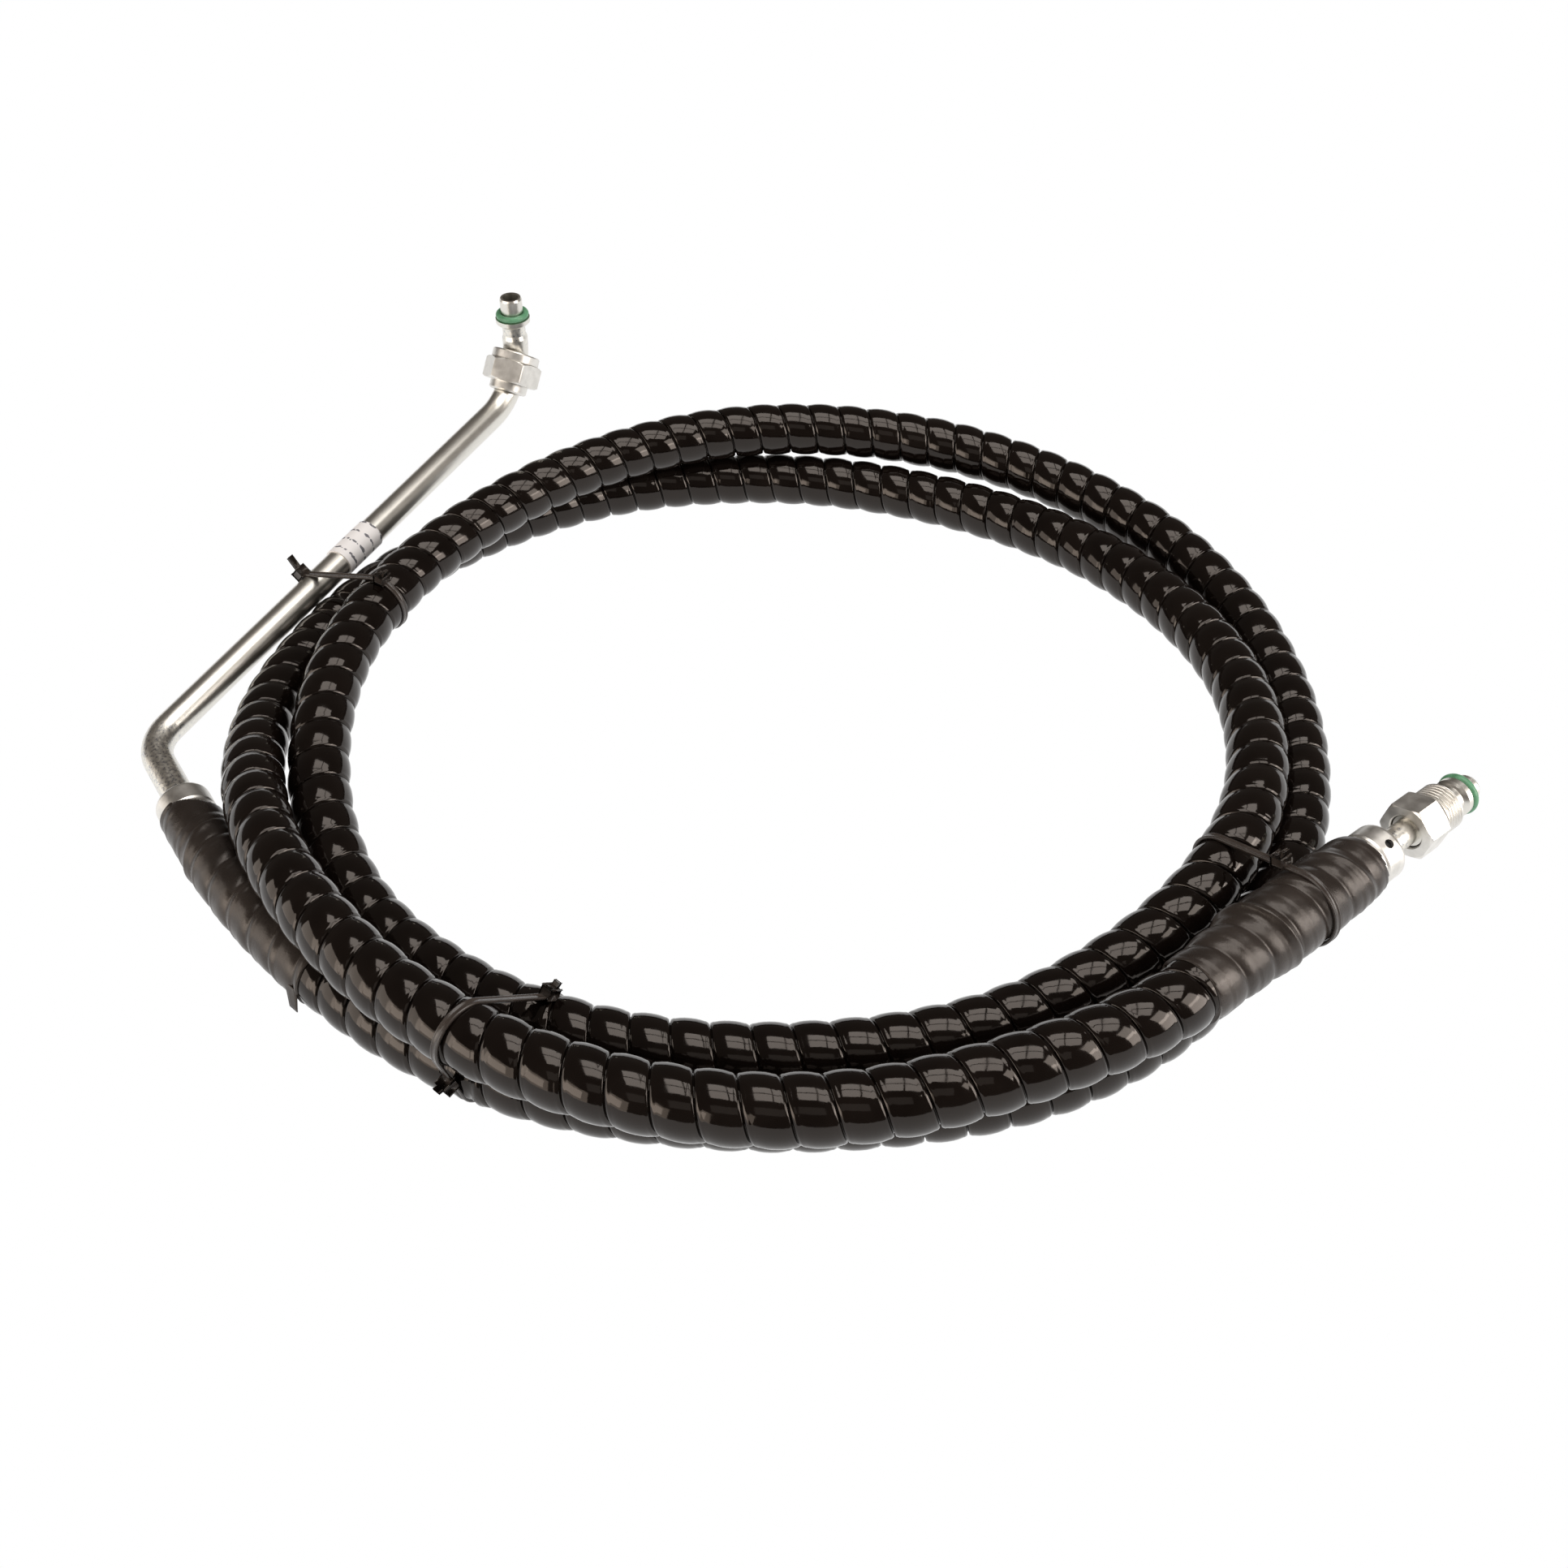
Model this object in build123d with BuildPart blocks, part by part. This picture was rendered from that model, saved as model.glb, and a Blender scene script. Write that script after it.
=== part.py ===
from build123d import *
import os
from math import atan2, cos, degrees, pi, radians, sin, tan

# A flexible line assembly: a spiral-guarded rubber hose laid in loose turns and tied in three
# places, with a long bent tube and a loose swivel nut on end A, and a short stem with a loose
# threaded swivel nut on end B. +Z is up, the floor is Z = 0, all sizes are in millimetres.

os.makedirs("parts", exist_ok=True)

# ---------------------------------------------------------------- driving dimensions

# hose layers, from the bore outwards
LINER_ID = 10.3
LINER_OD = 13.5
BRAID_OD = 15.5
COVER_OD = 19.0
GUARD_ID = 19.6
GUARD_OD = 25.0

# route of the hose: loose turns round COIL_CENTRE, one point every COIL_STEP degrees,
# each point as (radius, height of the hose's centre)
COIL_CENTRE = (0.1, -1.05)
COIL_FIRST_ANGLE = 240.0
COIL_STEP = 30.0
COIL_TURNS = [
    (224, 13.0), (215, 15.0), (224, 12.5), (222, 12.5), (222, 14.0), (222, 20.0),
    (211, 28.0), (194, 38.0), (186, 38.0), (192, 28.5), (196, 31.0), (204, 12.5),
    (197, 12.5), (189, 12.5), (196, 17.5), (205, 34.0), (199, 26.5), (189, 19.0),
    (184, 12.5), (186, 12.5), (198, 12.5), (212, 12.5), (226, 14.5), (225, 40.5),
    (229, 38.0), (233, 36.5), (229, 40.0),
]
ARC_SHARE = 0.45

# hose ends, measured from the coil's centre: the ferrule's face and the last point of the hose
FACE_A = (-241.1, -58.1, 15.5)
LEAD_A = (-204.1, -115.1, 13.1)
FACE_B = (221.4, -107.5, 38.5)
LEAD_B = (166.0, -151.8, 37.6)

# crimped ferrules, barbed inserts and how deep the hose goes in
FERRULE_OD = 22.0
FERRULE_LENGTH = 34.0
FERRULE_WALL = 3.5
FERRULE_ROUND = 2.5
CRIMP_DEPTH = 0.4
CRIMP_RAMP = 1.0
CRIMP_BANDS = ((-30.0, -22.0), (-19.0, -11.0))
WITNESS_HOLE_D = 3.6
WITNESS_HOLE_POSITION = -5.5
WITNESS_ANGLE_A = 180.0
WITNESS_ANGLE_B = 25.0
INSERT_BORE = 7.0
BARB_ROOT_D = 9.3
BARB_START = -32.0
BARB_PITCH = 5.5
BARB_COUNT = 4
BARB_LAND = 1.0
GUARD_START = 36.0

# adhesive tape over the ferrule and the first stretch of the guard
TAPE_START = 9.0
TAPE_JOIN = 37.5
TAPE_OVER_FERRULE = 0.8
TAPE_RAMP = 6.0
TAPE_A_OD = 26.0
TAPE_B_OD = 28.0
TAPE_A_BEYOND_LEAD = 37.0
TAPE_B_BEYOND_LEAD = 33.0

# tube A: out of the ferrule, one bend to the long run, one bend up to the nose
TUBE_OD = 12.7
TUBE_ID = 9.7
TUBE_LEAD = 38.5
TUBE_CORNER = (-135.6, 230.1, 36.0)
TUBE_BEND_1 = 21.0
TUBE_BEND_2 = 30.0
SPIGOT_LENGTH = 8.0
NOSE_A_SWEEP_END = 65.0
NOSE_A_NECK = 67.0
NOSE_A_BEAD = (72.6, 75.8)
NOSE_A_TIP = 86.3
NECK_A_OD = 11.4
NOSE_A_OD = 11.0
GROOVE_A_OD = 10.4
GROOVE_A_END = 79.0
BEAD_A_OD = 17.0
BEAD_A_CHAMFER = 1.0
NOSE_BORE = 8.0
TIP_CHAMFER = 1.0
LABEL_FROM_CORNER = (130.0, 154.0)
LABEL_OD = 13.9

# nut A, female thread, loose on the second bend
NUT_A_SHARE = 0.6
NUT_A_LEAN = 3.0
NUT_A_OFFSET = 1.0
NUT_A_HEX = 25.4
NUT_A_HEX_LENGTH = 10.8
NUT_A_MOUTH_OD = 23.8
NUT_A_MOUTH_LENGTH = 4.6
NUT_A_REAR_OD = 19.0
NUT_A_REAR_LENGTH = 4.6
NUT_A_THREAD_MINOR = 17.4
NUT_A_REAR_HOLE = 14.6
NUT_A_REAR_LIP = 3.0
NUT_A_REAR_CHAMFER = 1.0
NUT_A_MOUTH_CHAMFER = 0.8
NUT_A_HEX_STEP = 0.4
NUT_A_THREAD_LEAD = 1.0
HEX_CHAMFER = 1.2
CUT_PAST = 1.0

# stem B, its step, bead and nose, as distances from the ferrule's face
SHANK_OD = 10.0
STEM_START = 15.0
SOCKET_DEPTH = 6.0
BEAD_B = (42.0, 44.8)
BEAD_B_OD = 15.6
BEAD_B_SHOULDER = 1.0
BEAD_B_EDGE = (0.8, 0.4, 0.6)
NOSE_B_OD = 10.9
GROOVE_B_OD = 10.3
GROOVE_B_END = 48.4
NOSE_B_TIP = 53.0

# nut B, male thread, loose on the stem
NUT_B_REAR = 13.8
NUT_B_HEX = 20.6
NUT_B_HEX_LENGTH = 11.6
NUT_B_THREAD_OD = 19.05
NUT_B_THREAD_LENGTH = 11.2
NUT_B_RELIEF_OD = 17.0
NUT_B_RELIEF = 1.2
NUT_B_BORE = 13.5
NUT_B_THREAD_LEAD = 0.8

# sealing rings
RING_A_SECTION = 3.0
RING_B_SECTION = 3.4

# cable ties: two small ties chained into one loop round the strands in each place
TIE_WIDTH = 3.0
TIE_THICKNESS = 1.2
TIE_GAP = 0.5
TIE_BITE = 1.4
TIE_HEAD = (4.8, 4.8, 4.0)
TIE_TAIL = 2.6
GROOVE_PLAY = 0.2
FLOOR_STRAND = 16.0
BUNDLE_HALF_WIDTH = 60.0
EDGE_STEPS = 90
SEATED = (Align.CENTER, Align.CENTER, Align.MIN)
# place: (point measured from the coil's centre, direction across the strands in degrees,
#         directions of the two heads seen along the strands in degrees)
TIE_PLACES = {
    "left": ((-196.0, 65.0), -28.0, (165.0, 40.0)),
    "front": ((-99.8, -186.1), 49.0, (6.0, 178.0)),
    "right": ((175.0, -123.0), -51.35, (78.0, 205.0)),
}


# ---------------------------------------------------------------- helpers

def from_centre(x, y, z=0.0):
    """A point measured from the coil's centre."""
    return Vector(COIL_CENTRE[0] + x, COIL_CENTRE[1] + y, z)


def arc_radii(points):
    """The largest tidy arc for each corner of a line of points."""
    radii = []
    for before, corner, after in zip(points, points[1:], points[2:]):
        arriving = corner - before
        leaving = after - corner
        shorter = min(arriving.length, leaving.length)
        radii.append(ARC_SHARE * shorter / tan(radians(arriving.get_angle(leaving)) / 2))
    return radii


def start_plane(line):
    """The plane square to a line at its start."""
    return Plane(origin=line @ 0, z_dir=line % 0)


def turning_plane(origin, axis):
    """A plane through an axis: local X is the radius, local Y runs along the axis."""
    radial = Plane(origin=origin, z_dir=axis).x_dir
    return Plane(origin=origin, x_dir=radial, z_dir=radial.cross(axis))


def ring_section(plane, outer, inner):
    """An annulus on a plane."""
    with BuildSketch(plane) as section:
        Circle(outer / 2)
        Circle(inner / 2, mode=Mode.SUBTRACT)
    return section.sketch


def half_section(origin, axis, points):
    """A closed (radius, position) outline on the turning plane of an axis."""
    with BuildSketch(turning_plane(origin, axis)) as section:
        with BuildLine():
            Polyline(*points, close=True)
        make_face()
    return section.sketch


def ferrule_outline(neck):
    """Half section of a crimped ferrule whose end wall has a hole of the given diameter."""
    body = FERRULE_OD / 2
    pressed = body - CRIMP_DEPTH
    cavity = COVER_OD / 2
    outline = [(cavity, -FERRULE_LENGTH), (body, -FERRULE_LENGTH)]
    for low, high in CRIMP_BANDS:
        outline += [(body, low - CRIMP_RAMP), (pressed, low)]
        outline += [(pressed, high), (body, high + CRIMP_RAMP)]
    outline += [(body, 0), (neck / 2, 0)]
    outline += [(neck / 2, -FERRULE_WALL), (cavity, -FERRULE_WALL)]
    return outline


def insert_outline(spigot, spigot_end):
    """Half section of a barbed insert with a plain spigot on its outer end."""
    crest = LINER_ID / 2
    root = BARB_ROOT_D / 2
    outline = [(INSERT_BORE / 2, BARB_START)]
    for barb in range(BARB_COUNT):
        foot = BARB_START + barb * BARB_PITCH
        outline += [(root, foot), (crest, foot + BARB_PITCH - BARB_LAND)]
        outline += [(crest, foot + BARB_PITCH)]
    outline += [(crest, -FERRULE_WALL), (spigot / 2, -FERRULE_WALL)]
    outline += [(spigot / 2, spigot_end), (INSERT_BORE / 2, spigot_end)]
    return outline


def tape_outline(over_guard):
    """Half section of tape from the ferrule up onto the guard."""
    metal = FERRULE_OD / 2
    guard = GUARD_OD / 2
    return [
        (metal, -TAPE_START),
        (metal + TAPE_OVER_FERRULE, -TAPE_START),
        (metal + TAPE_OVER_FERRULE, -FERRULE_LENGTH + TAPE_RAMP),
        (over_guard / 2, -GUARD_START),
        (over_guard / 2, -TAPE_JOIN),
        (guard, -TAPE_JOIN),
        (guard, -GUARD_START),
        (metal, -FERRULE_LENGTH),
    ]


def crossings(line, plane, samples=800):
    """Where a line passes through a plane near its origin, in the plane's own coordinates."""
    points = [plane.to_local_coords(line @ (step / samples)) for step in range(samples + 1)]
    found = []
    for near, far in zip(points, points[1:]):
        if near.Z * far.Z < 0 and abs(near.X) < BUNDLE_HALF_WIDTH:
            found.append(near + (far - near) * (near.Z / (near.Z - far.Z)))
    return found


def hull(circles, grow):
    """The taut outline round (x, y, radius) circles, grown outwards, on the XY plane."""
    with BuildSketch() as outline:
        for x, y, radius in circles:
            with Locations((x, y)):
                Circle(radius + grow)
        make_hull()
    return outline.sketch


def band(plane, circles, inner_grow, outer_grow):
    """The closed strap section between two hulls, on a plane."""
    with BuildSketch(plane) as section:
        add(hull(circles, outer_grow))
        add(hull(circles, inner_grow), mode=Mode.SUBTRACT)
    return section.sketch


def head_seat(plane, circles, direction):
    """A plane on a strap where its middle sees it in a direction: X along it, Z outwards."""
    middle = Vector(
        sum(circle[0] for circle in circles) / len(circles),
        sum(circle[1] for circle in circles) / len(circles),
    )
    best = None
    for edge in hull(circles, TIE_THICKNESS).edges():
        for step in range(EDGE_STEPS):
            seen = edge @ (step / EDGE_STEPS) - middle
            miss = abs((degrees(atan2(seen.Y, seen.X)) - direction + 180) % 360 - 180)
            if best is None or miss < best[0]:
                best = (miss, edge @ (step / EDGE_STEPS), edge % (step / EDGE_STEPS))
    place = best[1]
    outwards = best[2].cross(Vector(0, 0, 1))
    if outwards.dot(place - middle) < 0:
        outwards = -outwards
    outwards = plane.x_dir * outwards.X + plane.y_dir * outwards.Y
    origin = plane.origin + plane.x_dir * place.X + plane.y_dir * place.Y
    origin = origin - outwards * (TIE_THICKNESS / 2)
    return Plane(origin=origin, x_dir=plane.z_dir.cross(outwards), z_dir=outwards)


def tail_plane(head, towards):
    """The seat of the partner's tail, half a strap along from the middle of a head."""
    shift = head.x_dir * (TIE_THICKNESS / 2)
    if shift.dot(towards) < 0:
        shift = -shift
    return Plane(origin=head.origin + shift, x_dir=head.x_dir, z_dir=head.z_dir)


def half_strap(section, halving, side):
    """The half of a closed strap on one side of a plane."""
    with BuildPart() as strap:
        extrude(section, TIE_WIDTH / 2, both=True)
        split(bisect_by=halving, keep=side)
    return strap.part


# ---------------------------------------------------------------- routes and axes

face_a = from_centre(*FACE_A)
lead_a = from_centre(*LEAD_A)
face_b = from_centre(*FACE_B)
lead_b = from_centre(*LEAD_B)
axis_a = (face_a - lead_a).normalized()
axis_b = (face_b - lead_b).normalized()

turns = []
for number, (radius, height) in enumerate(COIL_TURNS):
    angle = radians(COIL_FIRST_ANGLE + number * COIL_STEP)
    turns.append(from_centre(radius * cos(angle), radius * sin(angle), height))

hose_end_a = face_a - axis_a * FERRULE_WALL
hose_end_b = face_b - axis_b * FERRULE_WALL
route_points = [hose_end_a, lead_a, *turns, lead_b, hose_end_b]
route_radii = arc_radii(route_points)
route = FilletPolyline(*route_points, radius=route_radii)

guard_ends = (face_a - axis_a * GUARD_START, face_b - axis_b * GUARD_START)
guard_points = [guard_ends[0], lead_a, *turns, lead_b, guard_ends[1]]
guard_route = FilletPolyline(*guard_points, radius=route_radii)

tape_a_end = lead_a + (turns[0] - lead_a).normalized() * TAPE_A_BEYOND_LEAD
tape_a_points = [face_a - axis_a * TAPE_JOIN, lead_a, tape_a_end]
tape_a_route = FilletPolyline(*tape_a_points, radius=[route_radii[0]])
tape_b_end = lead_b + (turns[-1] - lead_b).normalized() * TAPE_B_BEYOND_LEAD
tape_b_points = [face_b - axis_b * TAPE_JOIN, lead_b, tape_b_end]
tape_b_route = FilletPolyline(*tape_b_points, radius=[route_radii[-1]])

tube_start = face_a - axis_a * FERRULE_WALL
first_corner = face_a + axis_a * TUBE_LEAD
second_corner = from_centre(*TUBE_CORNER)
nose_a = Vector(second_corner.X, second_corner.Y, 0)
up = Vector(0, 0, 1)
sweep_end = nose_a + up * NOSE_A_SWEEP_END
tube_points = [tube_start, first_corner, second_corner, sweep_end]
tube_route = FilletPolyline(*tube_points, radius=[TUBE_BEND_1, TUBE_BEND_2])

# the second bend's arc, on which nut A rests
run_direction = (second_corner - first_corner).normalized()
bend_turn = run_direction.get_angle(up)
bend_start = second_corner - run_direction * (TUBE_BEND_2 * tan(radians(bend_turn) / 2))
towards_centre = (up - run_direction * up.dot(run_direction)).normalized()
nut_angle = radians(bend_turn * NUT_A_SHARE)
lean_angle = nut_angle - radians(NUT_A_LEAN)
nut_a_axis = run_direction * cos(lean_angle) + towards_centre * sin(lean_angle)
nut_a_inwards = towards_centre * cos(nut_angle) - run_direction * sin(nut_angle)
bend_centre = bend_start + towards_centre * TUBE_BEND_2
nut_a_centre = bend_centre - nut_a_inwards * (TUBE_BEND_2 - NUT_A_OFFSET)
nut_a_length = NUT_A_REAR_LENGTH + NUT_A_HEX_LENGTH + NUT_A_MOUTH_LENGTH
nut_a_rear = nut_a_centre - nut_a_axis * (nut_a_length / 2)

nut_b_rear = face_b + axis_b * NUT_B_REAR


# ---------------------------------------------------------------- hose

with BuildPart() as hose_liner:
    sweep(ring_section(start_plane(route), LINER_OD, LINER_ID), path=route)
hose_liner.part.label = "hose_liner"
export_step(hose_liner.part, "parts/hose_liner.step")

with BuildPart() as hose_braid:
    sweep(ring_section(start_plane(route), BRAID_OD, LINER_OD), path=route)
hose_braid.part.label = "hose_braid"
export_step(hose_braid.part, "parts/hose_braid.step")

with BuildPart() as hose_cover:
    sweep(ring_section(start_plane(route), COVER_OD, BRAID_OD), path=route)
hose_cover.part.label = "hose_cover"
export_step(hose_cover.part, "parts/hose_cover.step")


# ---------------------------------------------------------------- cable ties

bitten_strands = []
ties = []
for place, (spot, across, head_directions) in TIE_PLACES.items():
    across_direction = Vector(cos(radians(across)), sin(radians(across)), 0)
    tie_plane = Plane(
        origin=from_centre(*spot), x_dir=across_direction, z_dir=across_direction.cross(up)
    )
    circles = []
    for strand in crossings(guard_route, tie_plane):
        bite = TIE_BITE if strand.Y < FLOOR_STRAND else -TIE_GAP
        circles.append((strand.X, strand.Y, GUARD_OD / 2 - bite))
    for strand in crossings(tape_b_route, tie_plane):
        circles.append((strand.X, strand.Y, TAPE_B_OD / 2 + TIE_GAP))
    for strand in crossings(tube_route, tie_plane):
        circles.append((strand.X, strand.Y, TUBE_OD / 2 + TIE_GAP))
    bitten = [(x, y) for x, y, radius in circles if radius == GUARD_OD / 2 - TIE_BITE]
    bitten_strands.append((tie_plane, bitten))

    heads = [head_seat(tie_plane, circles, direction) for direction in head_directions]
    between = heads[1].origin - heads[0].origin
    halving = Plane(origin=heads[0].origin, z_dir=between.cross(tie_plane.z_dir))
    tails = [tail_plane(heads[0], -halving.z_dir), tail_plane(heads[1], halving.z_dir)]
    loop_section = band(tie_plane, circles, 0, TIE_THICKNESS)
    straps = [half_strap(loop_section, halving, side) for side in (Keep.TOP, Keep.BOTTOM)]

    # each tie's head takes the cut tail of the other tie
    for number, strap in enumerate(straps):
        with BuildPart() as tie:
            with Locations(heads[number]):
                Box(*TIE_HEAD, align=SEATED)
            with Locations(tails[number]):
                Box(TIE_THICKNESS, TIE_WIDTH, TIE_HEAD[2], align=SEATED, mode=Mode.SUBTRACT)
            with Locations(tails[1 - number]):
                Box(TIE_THICKNESS, TIE_WIDTH, TIE_HEAD[2] + TIE_TAIL, align=SEATED)
            extrude(loop_section, TIE_WIDTH / 2, both=True, mode=Mode.SUBTRACT)
            add(strap)
        tie_name = f"tie_{place}_{number + 1}"
        tie.part.label = tie_name
        ties.append(tie.part)
        export_step(tie.part, f"parts/{tie_name}.step")


# ---------------------------------------------------------------- guard and tapes

with BuildPart() as spiral_guard:
    sweep(ring_section(start_plane(guard_route), GUARD_OD, GUARD_ID), path=guard_route)
    for tie_plane, strands in bitten_strands:
        with BuildSketch(tie_plane):
            with Locations(*strands):
                Circle(GUARD_OD / 2 + TIE_GAP)
                Circle(GUARD_OD / 2 - TIE_BITE - GROOVE_PLAY, mode=Mode.SUBTRACT)
        extrude(amount=TIE_WIDTH / 2 + GROOVE_PLAY, both=True, mode=Mode.SUBTRACT)
    for pressed_tie in ties:
        add(pressed_tie, mode=Mode.SUBTRACT)
spiral_guard.part.label = "spiral_guard"
export_step(spiral_guard.part, "parts/spiral_guard.step")

with BuildPart() as tape_a:
    revolve(half_section(face_a, axis_a, tape_outline(TAPE_A_OD)), axis=Axis(face_a, axis_a))
    sweep(ring_section(start_plane(tape_a_route), TAPE_A_OD, GUARD_OD), path=tape_a_route)
tape_a.part.label = "tape_a"
export_step(tape_a.part, "parts/tape_a.step")

with BuildPart() as tape_b:
    revolve(half_section(face_b, axis_b, tape_outline(TAPE_B_OD)), axis=Axis(face_b, axis_b))
    sweep(ring_section(start_plane(tape_b_route), TAPE_B_OD, GUARD_OD), path=tape_b_route)
tape_b.part.label = "tape_b"
export_step(tape_b.part, "parts/tape_b.step")


# ---------------------------------------------------------------- crimped ends

def witness_axis(face, axis, angle):
    """The radial plane of a ferrule's witness hole, turned from straight up."""
    side = axis.cross(up).normalized()
    above = side.cross(axis)
    outwards = above * cos(radians(angle)) + side * sin(radians(angle))
    return Plane(origin=face + axis * WITNESS_HOLE_POSITION, x_dir=axis, z_dir=outwards)


def outer_rim(ferrule, face, axis):
    """The edge between a ferrule's side and its end face."""
    rings = ferrule.edges().filter_by(GeomType.CIRCLE)
    wide = rings.filter_by(lambda ring: ring.radius > FERRULE_OD / 2 - CRIMP_DEPTH / 2)
    return wide.sort_by(Axis(face, axis))[-1]


with BuildPart() as ferrule_a:
    revolve(half_section(face_a, axis_a, ferrule_outline(TUBE_OD)), axis=Axis(face_a, axis_a))
    with BuildSketch(witness_axis(face_a, axis_a, WITNESS_ANGLE_A)):
        Circle(WITNESS_HOLE_D / 2)
    extrude(amount=FERRULE_OD, mode=Mode.SUBTRACT)
    fillet(outer_rim(ferrule_a, face_a, axis_a), FERRULE_ROUND)
ferrule_a.part.label = "ferrule_a"
export_step(ferrule_a.part, "parts/ferrule_a.step")

with BuildPart() as ferrule_b:
    revolve(half_section(face_b, axis_b, ferrule_outline(SHANK_OD)), axis=Axis(face_b, axis_b))
    with BuildSketch(witness_axis(face_b, axis_b, WITNESS_ANGLE_B)):
        Circle(WITNESS_HOLE_D / 2)
    extrude(amount=FERRULE_OD, mode=Mode.SUBTRACT)
    fillet(outer_rim(ferrule_b, face_b, axis_b), FERRULE_ROUND)
ferrule_b.part.label = "ferrule_b"
export_step(ferrule_b.part, "parts/ferrule_b.step")

insert_a_outline = insert_outline(TUBE_ID, SPIGOT_LENGTH)
with BuildPart() as insert_a:
    revolve(half_section(face_a, axis_a, insert_a_outline), axis=Axis(face_a, axis_a))
insert_a.part.label = "insert_a"
export_step(insert_a.part, "parts/insert_a.step")

insert_b_outline = insert_outline(SHANK_OD, STEM_START + SOCKET_DEPTH)
with BuildPart() as insert_b:
    revolve(half_section(face_b, axis_b, insert_b_outline), axis=Axis(face_b, axis_b))
insert_b.part.label = "insert_b"
export_step(insert_b.part, "parts/insert_b.step")


# ---------------------------------------------------------------- end A: tube, label, ring, nut

nose_a_outline = [
    (NOSE_BORE / 2, NOSE_A_SWEEP_END),
    (TUBE_OD / 2, NOSE_A_SWEEP_END),
    (NECK_A_OD / 2, NOSE_A_NECK),
    (NECK_A_OD / 2, NOSE_A_BEAD[0]),
    (BEAD_A_OD / 2 - BEAD_A_CHAMFER, NOSE_A_BEAD[0]),
    (BEAD_A_OD / 2, NOSE_A_BEAD[0] + BEAD_A_CHAMFER),
    (BEAD_A_OD / 2, NOSE_A_BEAD[1]),
    (GROOVE_A_OD / 2, NOSE_A_BEAD[1]),
    (GROOVE_A_OD / 2, GROOVE_A_END),
    (NOSE_A_OD / 2, GROOVE_A_END),
    (NOSE_A_OD / 2, NOSE_A_TIP - TIP_CHAMFER),
    (NOSE_A_OD / 2 - TIP_CHAMFER / 2, NOSE_A_TIP),
    (NOSE_BORE / 2, NOSE_A_TIP),
]
with BuildPart() as tube_a:
    sweep(ring_section(start_plane(tube_route), TUBE_OD, TUBE_ID), path=tube_route)
    revolve(half_section(nose_a, up, nose_a_outline), axis=Axis(nose_a, up))
tube_a.part.label = "tube_a"
export_step(tube_a.part, "parts/tube_a.step")

ring_a_centre = nose_a + up * (NOSE_A_BEAD[1] + RING_A_SECTION / 2)
with BuildPart() as o_ring_a:
    with Locations(Plane(origin=ring_a_centre, z_dir=up)):
        Torus((GROOVE_A_OD + RING_A_SECTION) / 2, RING_A_SECTION / 2)
o_ring_a.part.label = "o_ring_a"
export_step(o_ring_a.part, "parts/o_ring_a.step")

label_ends = [first_corner + run_direction * distance for distance in LABEL_FROM_CORNER]
with BuildPart() as label_sleeve:
    label_section = ring_section(
        Plane(origin=label_ends[0], z_dir=run_direction), LABEL_OD, TUBE_OD
    )
    extrude(label_section, (label_ends[1] - label_ends[0]).length)
label_sleeve.part.label = "label_sleeve"
export_step(label_sleeve.part, "parts/label_sleeve.step")

hex_a = (NUT_A_REAR_LENGTH, NUT_A_REAR_LENGTH + NUT_A_HEX_LENGTH)
hex_a_corner = NUT_A_HEX / 2 / cos(pi / 6)
nut_a_envelope = [
    (0, 0),
    (NUT_A_REAR_OD / 2 - NUT_A_REAR_CHAMFER, 0),
    (NUT_A_REAR_OD / 2, NUT_A_REAR_CHAMFER),
    (NUT_A_REAR_OD / 2, hex_a[0]),
    (hex_a_corner - HEX_CHAMFER, hex_a[0]),
    (hex_a_corner, hex_a[0] + HEX_CHAMFER),
    (hex_a_corner, hex_a[1] - HEX_CHAMFER),
    (NUT_A_MOUTH_OD / 2, hex_a[1] + NUT_A_HEX_STEP),
    (NUT_A_MOUTH_OD / 2, nut_a_length - NUT_A_MOUTH_CHAMFER),
    (NUT_A_MOUTH_OD / 2 - NUT_A_MOUTH_CHAMFER, nut_a_length),
    (0, nut_a_length),
]
nut_a_hollow = [
    (0, -CUT_PAST),
    (NUT_A_REAR_HOLE / 2, -CUT_PAST),
    (NUT_A_REAR_HOLE / 2, NUT_A_REAR_LIP),
    (NUT_A_THREAD_MINOR / 2, NUT_A_REAR_LIP),
    (NUT_A_THREAD_MINOR / 2, nut_a_length - NUT_A_THREAD_LEAD),
    (NUT_A_THREAD_MINOR / 2 + NUT_A_THREAD_LEAD, nut_a_length),
    (NUT_A_THREAD_MINOR / 2 + NUT_A_THREAD_LEAD, nut_a_length + CUT_PAST),
    (0, nut_a_length + CUT_PAST),
]
with BuildPart() as nut_a:
    with BuildSketch(Plane(origin=nut_a_rear, z_dir=nut_a_axis)):
        RegularPolygon(NUT_A_HEX / 2, 6, major_radius=False)
    extrude(amount=nut_a_length)
    nut_a_line = Axis(nut_a_rear, nut_a_axis)
    envelope = half_section(nut_a_rear, nut_a_axis, nut_a_envelope)
    revolve(envelope, axis=nut_a_line, mode=Mode.INTERSECT)
    hollow = half_section(nut_a_rear, nut_a_axis, nut_a_hollow)
    revolve(hollow, axis=nut_a_line, mode=Mode.SUBTRACT)
nut_a.part.label = "nut_a"
export_step(nut_a.part, "parts/nut_a.step")


# ---------------------------------------------------------------- end B: stem, ring, nut

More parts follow.
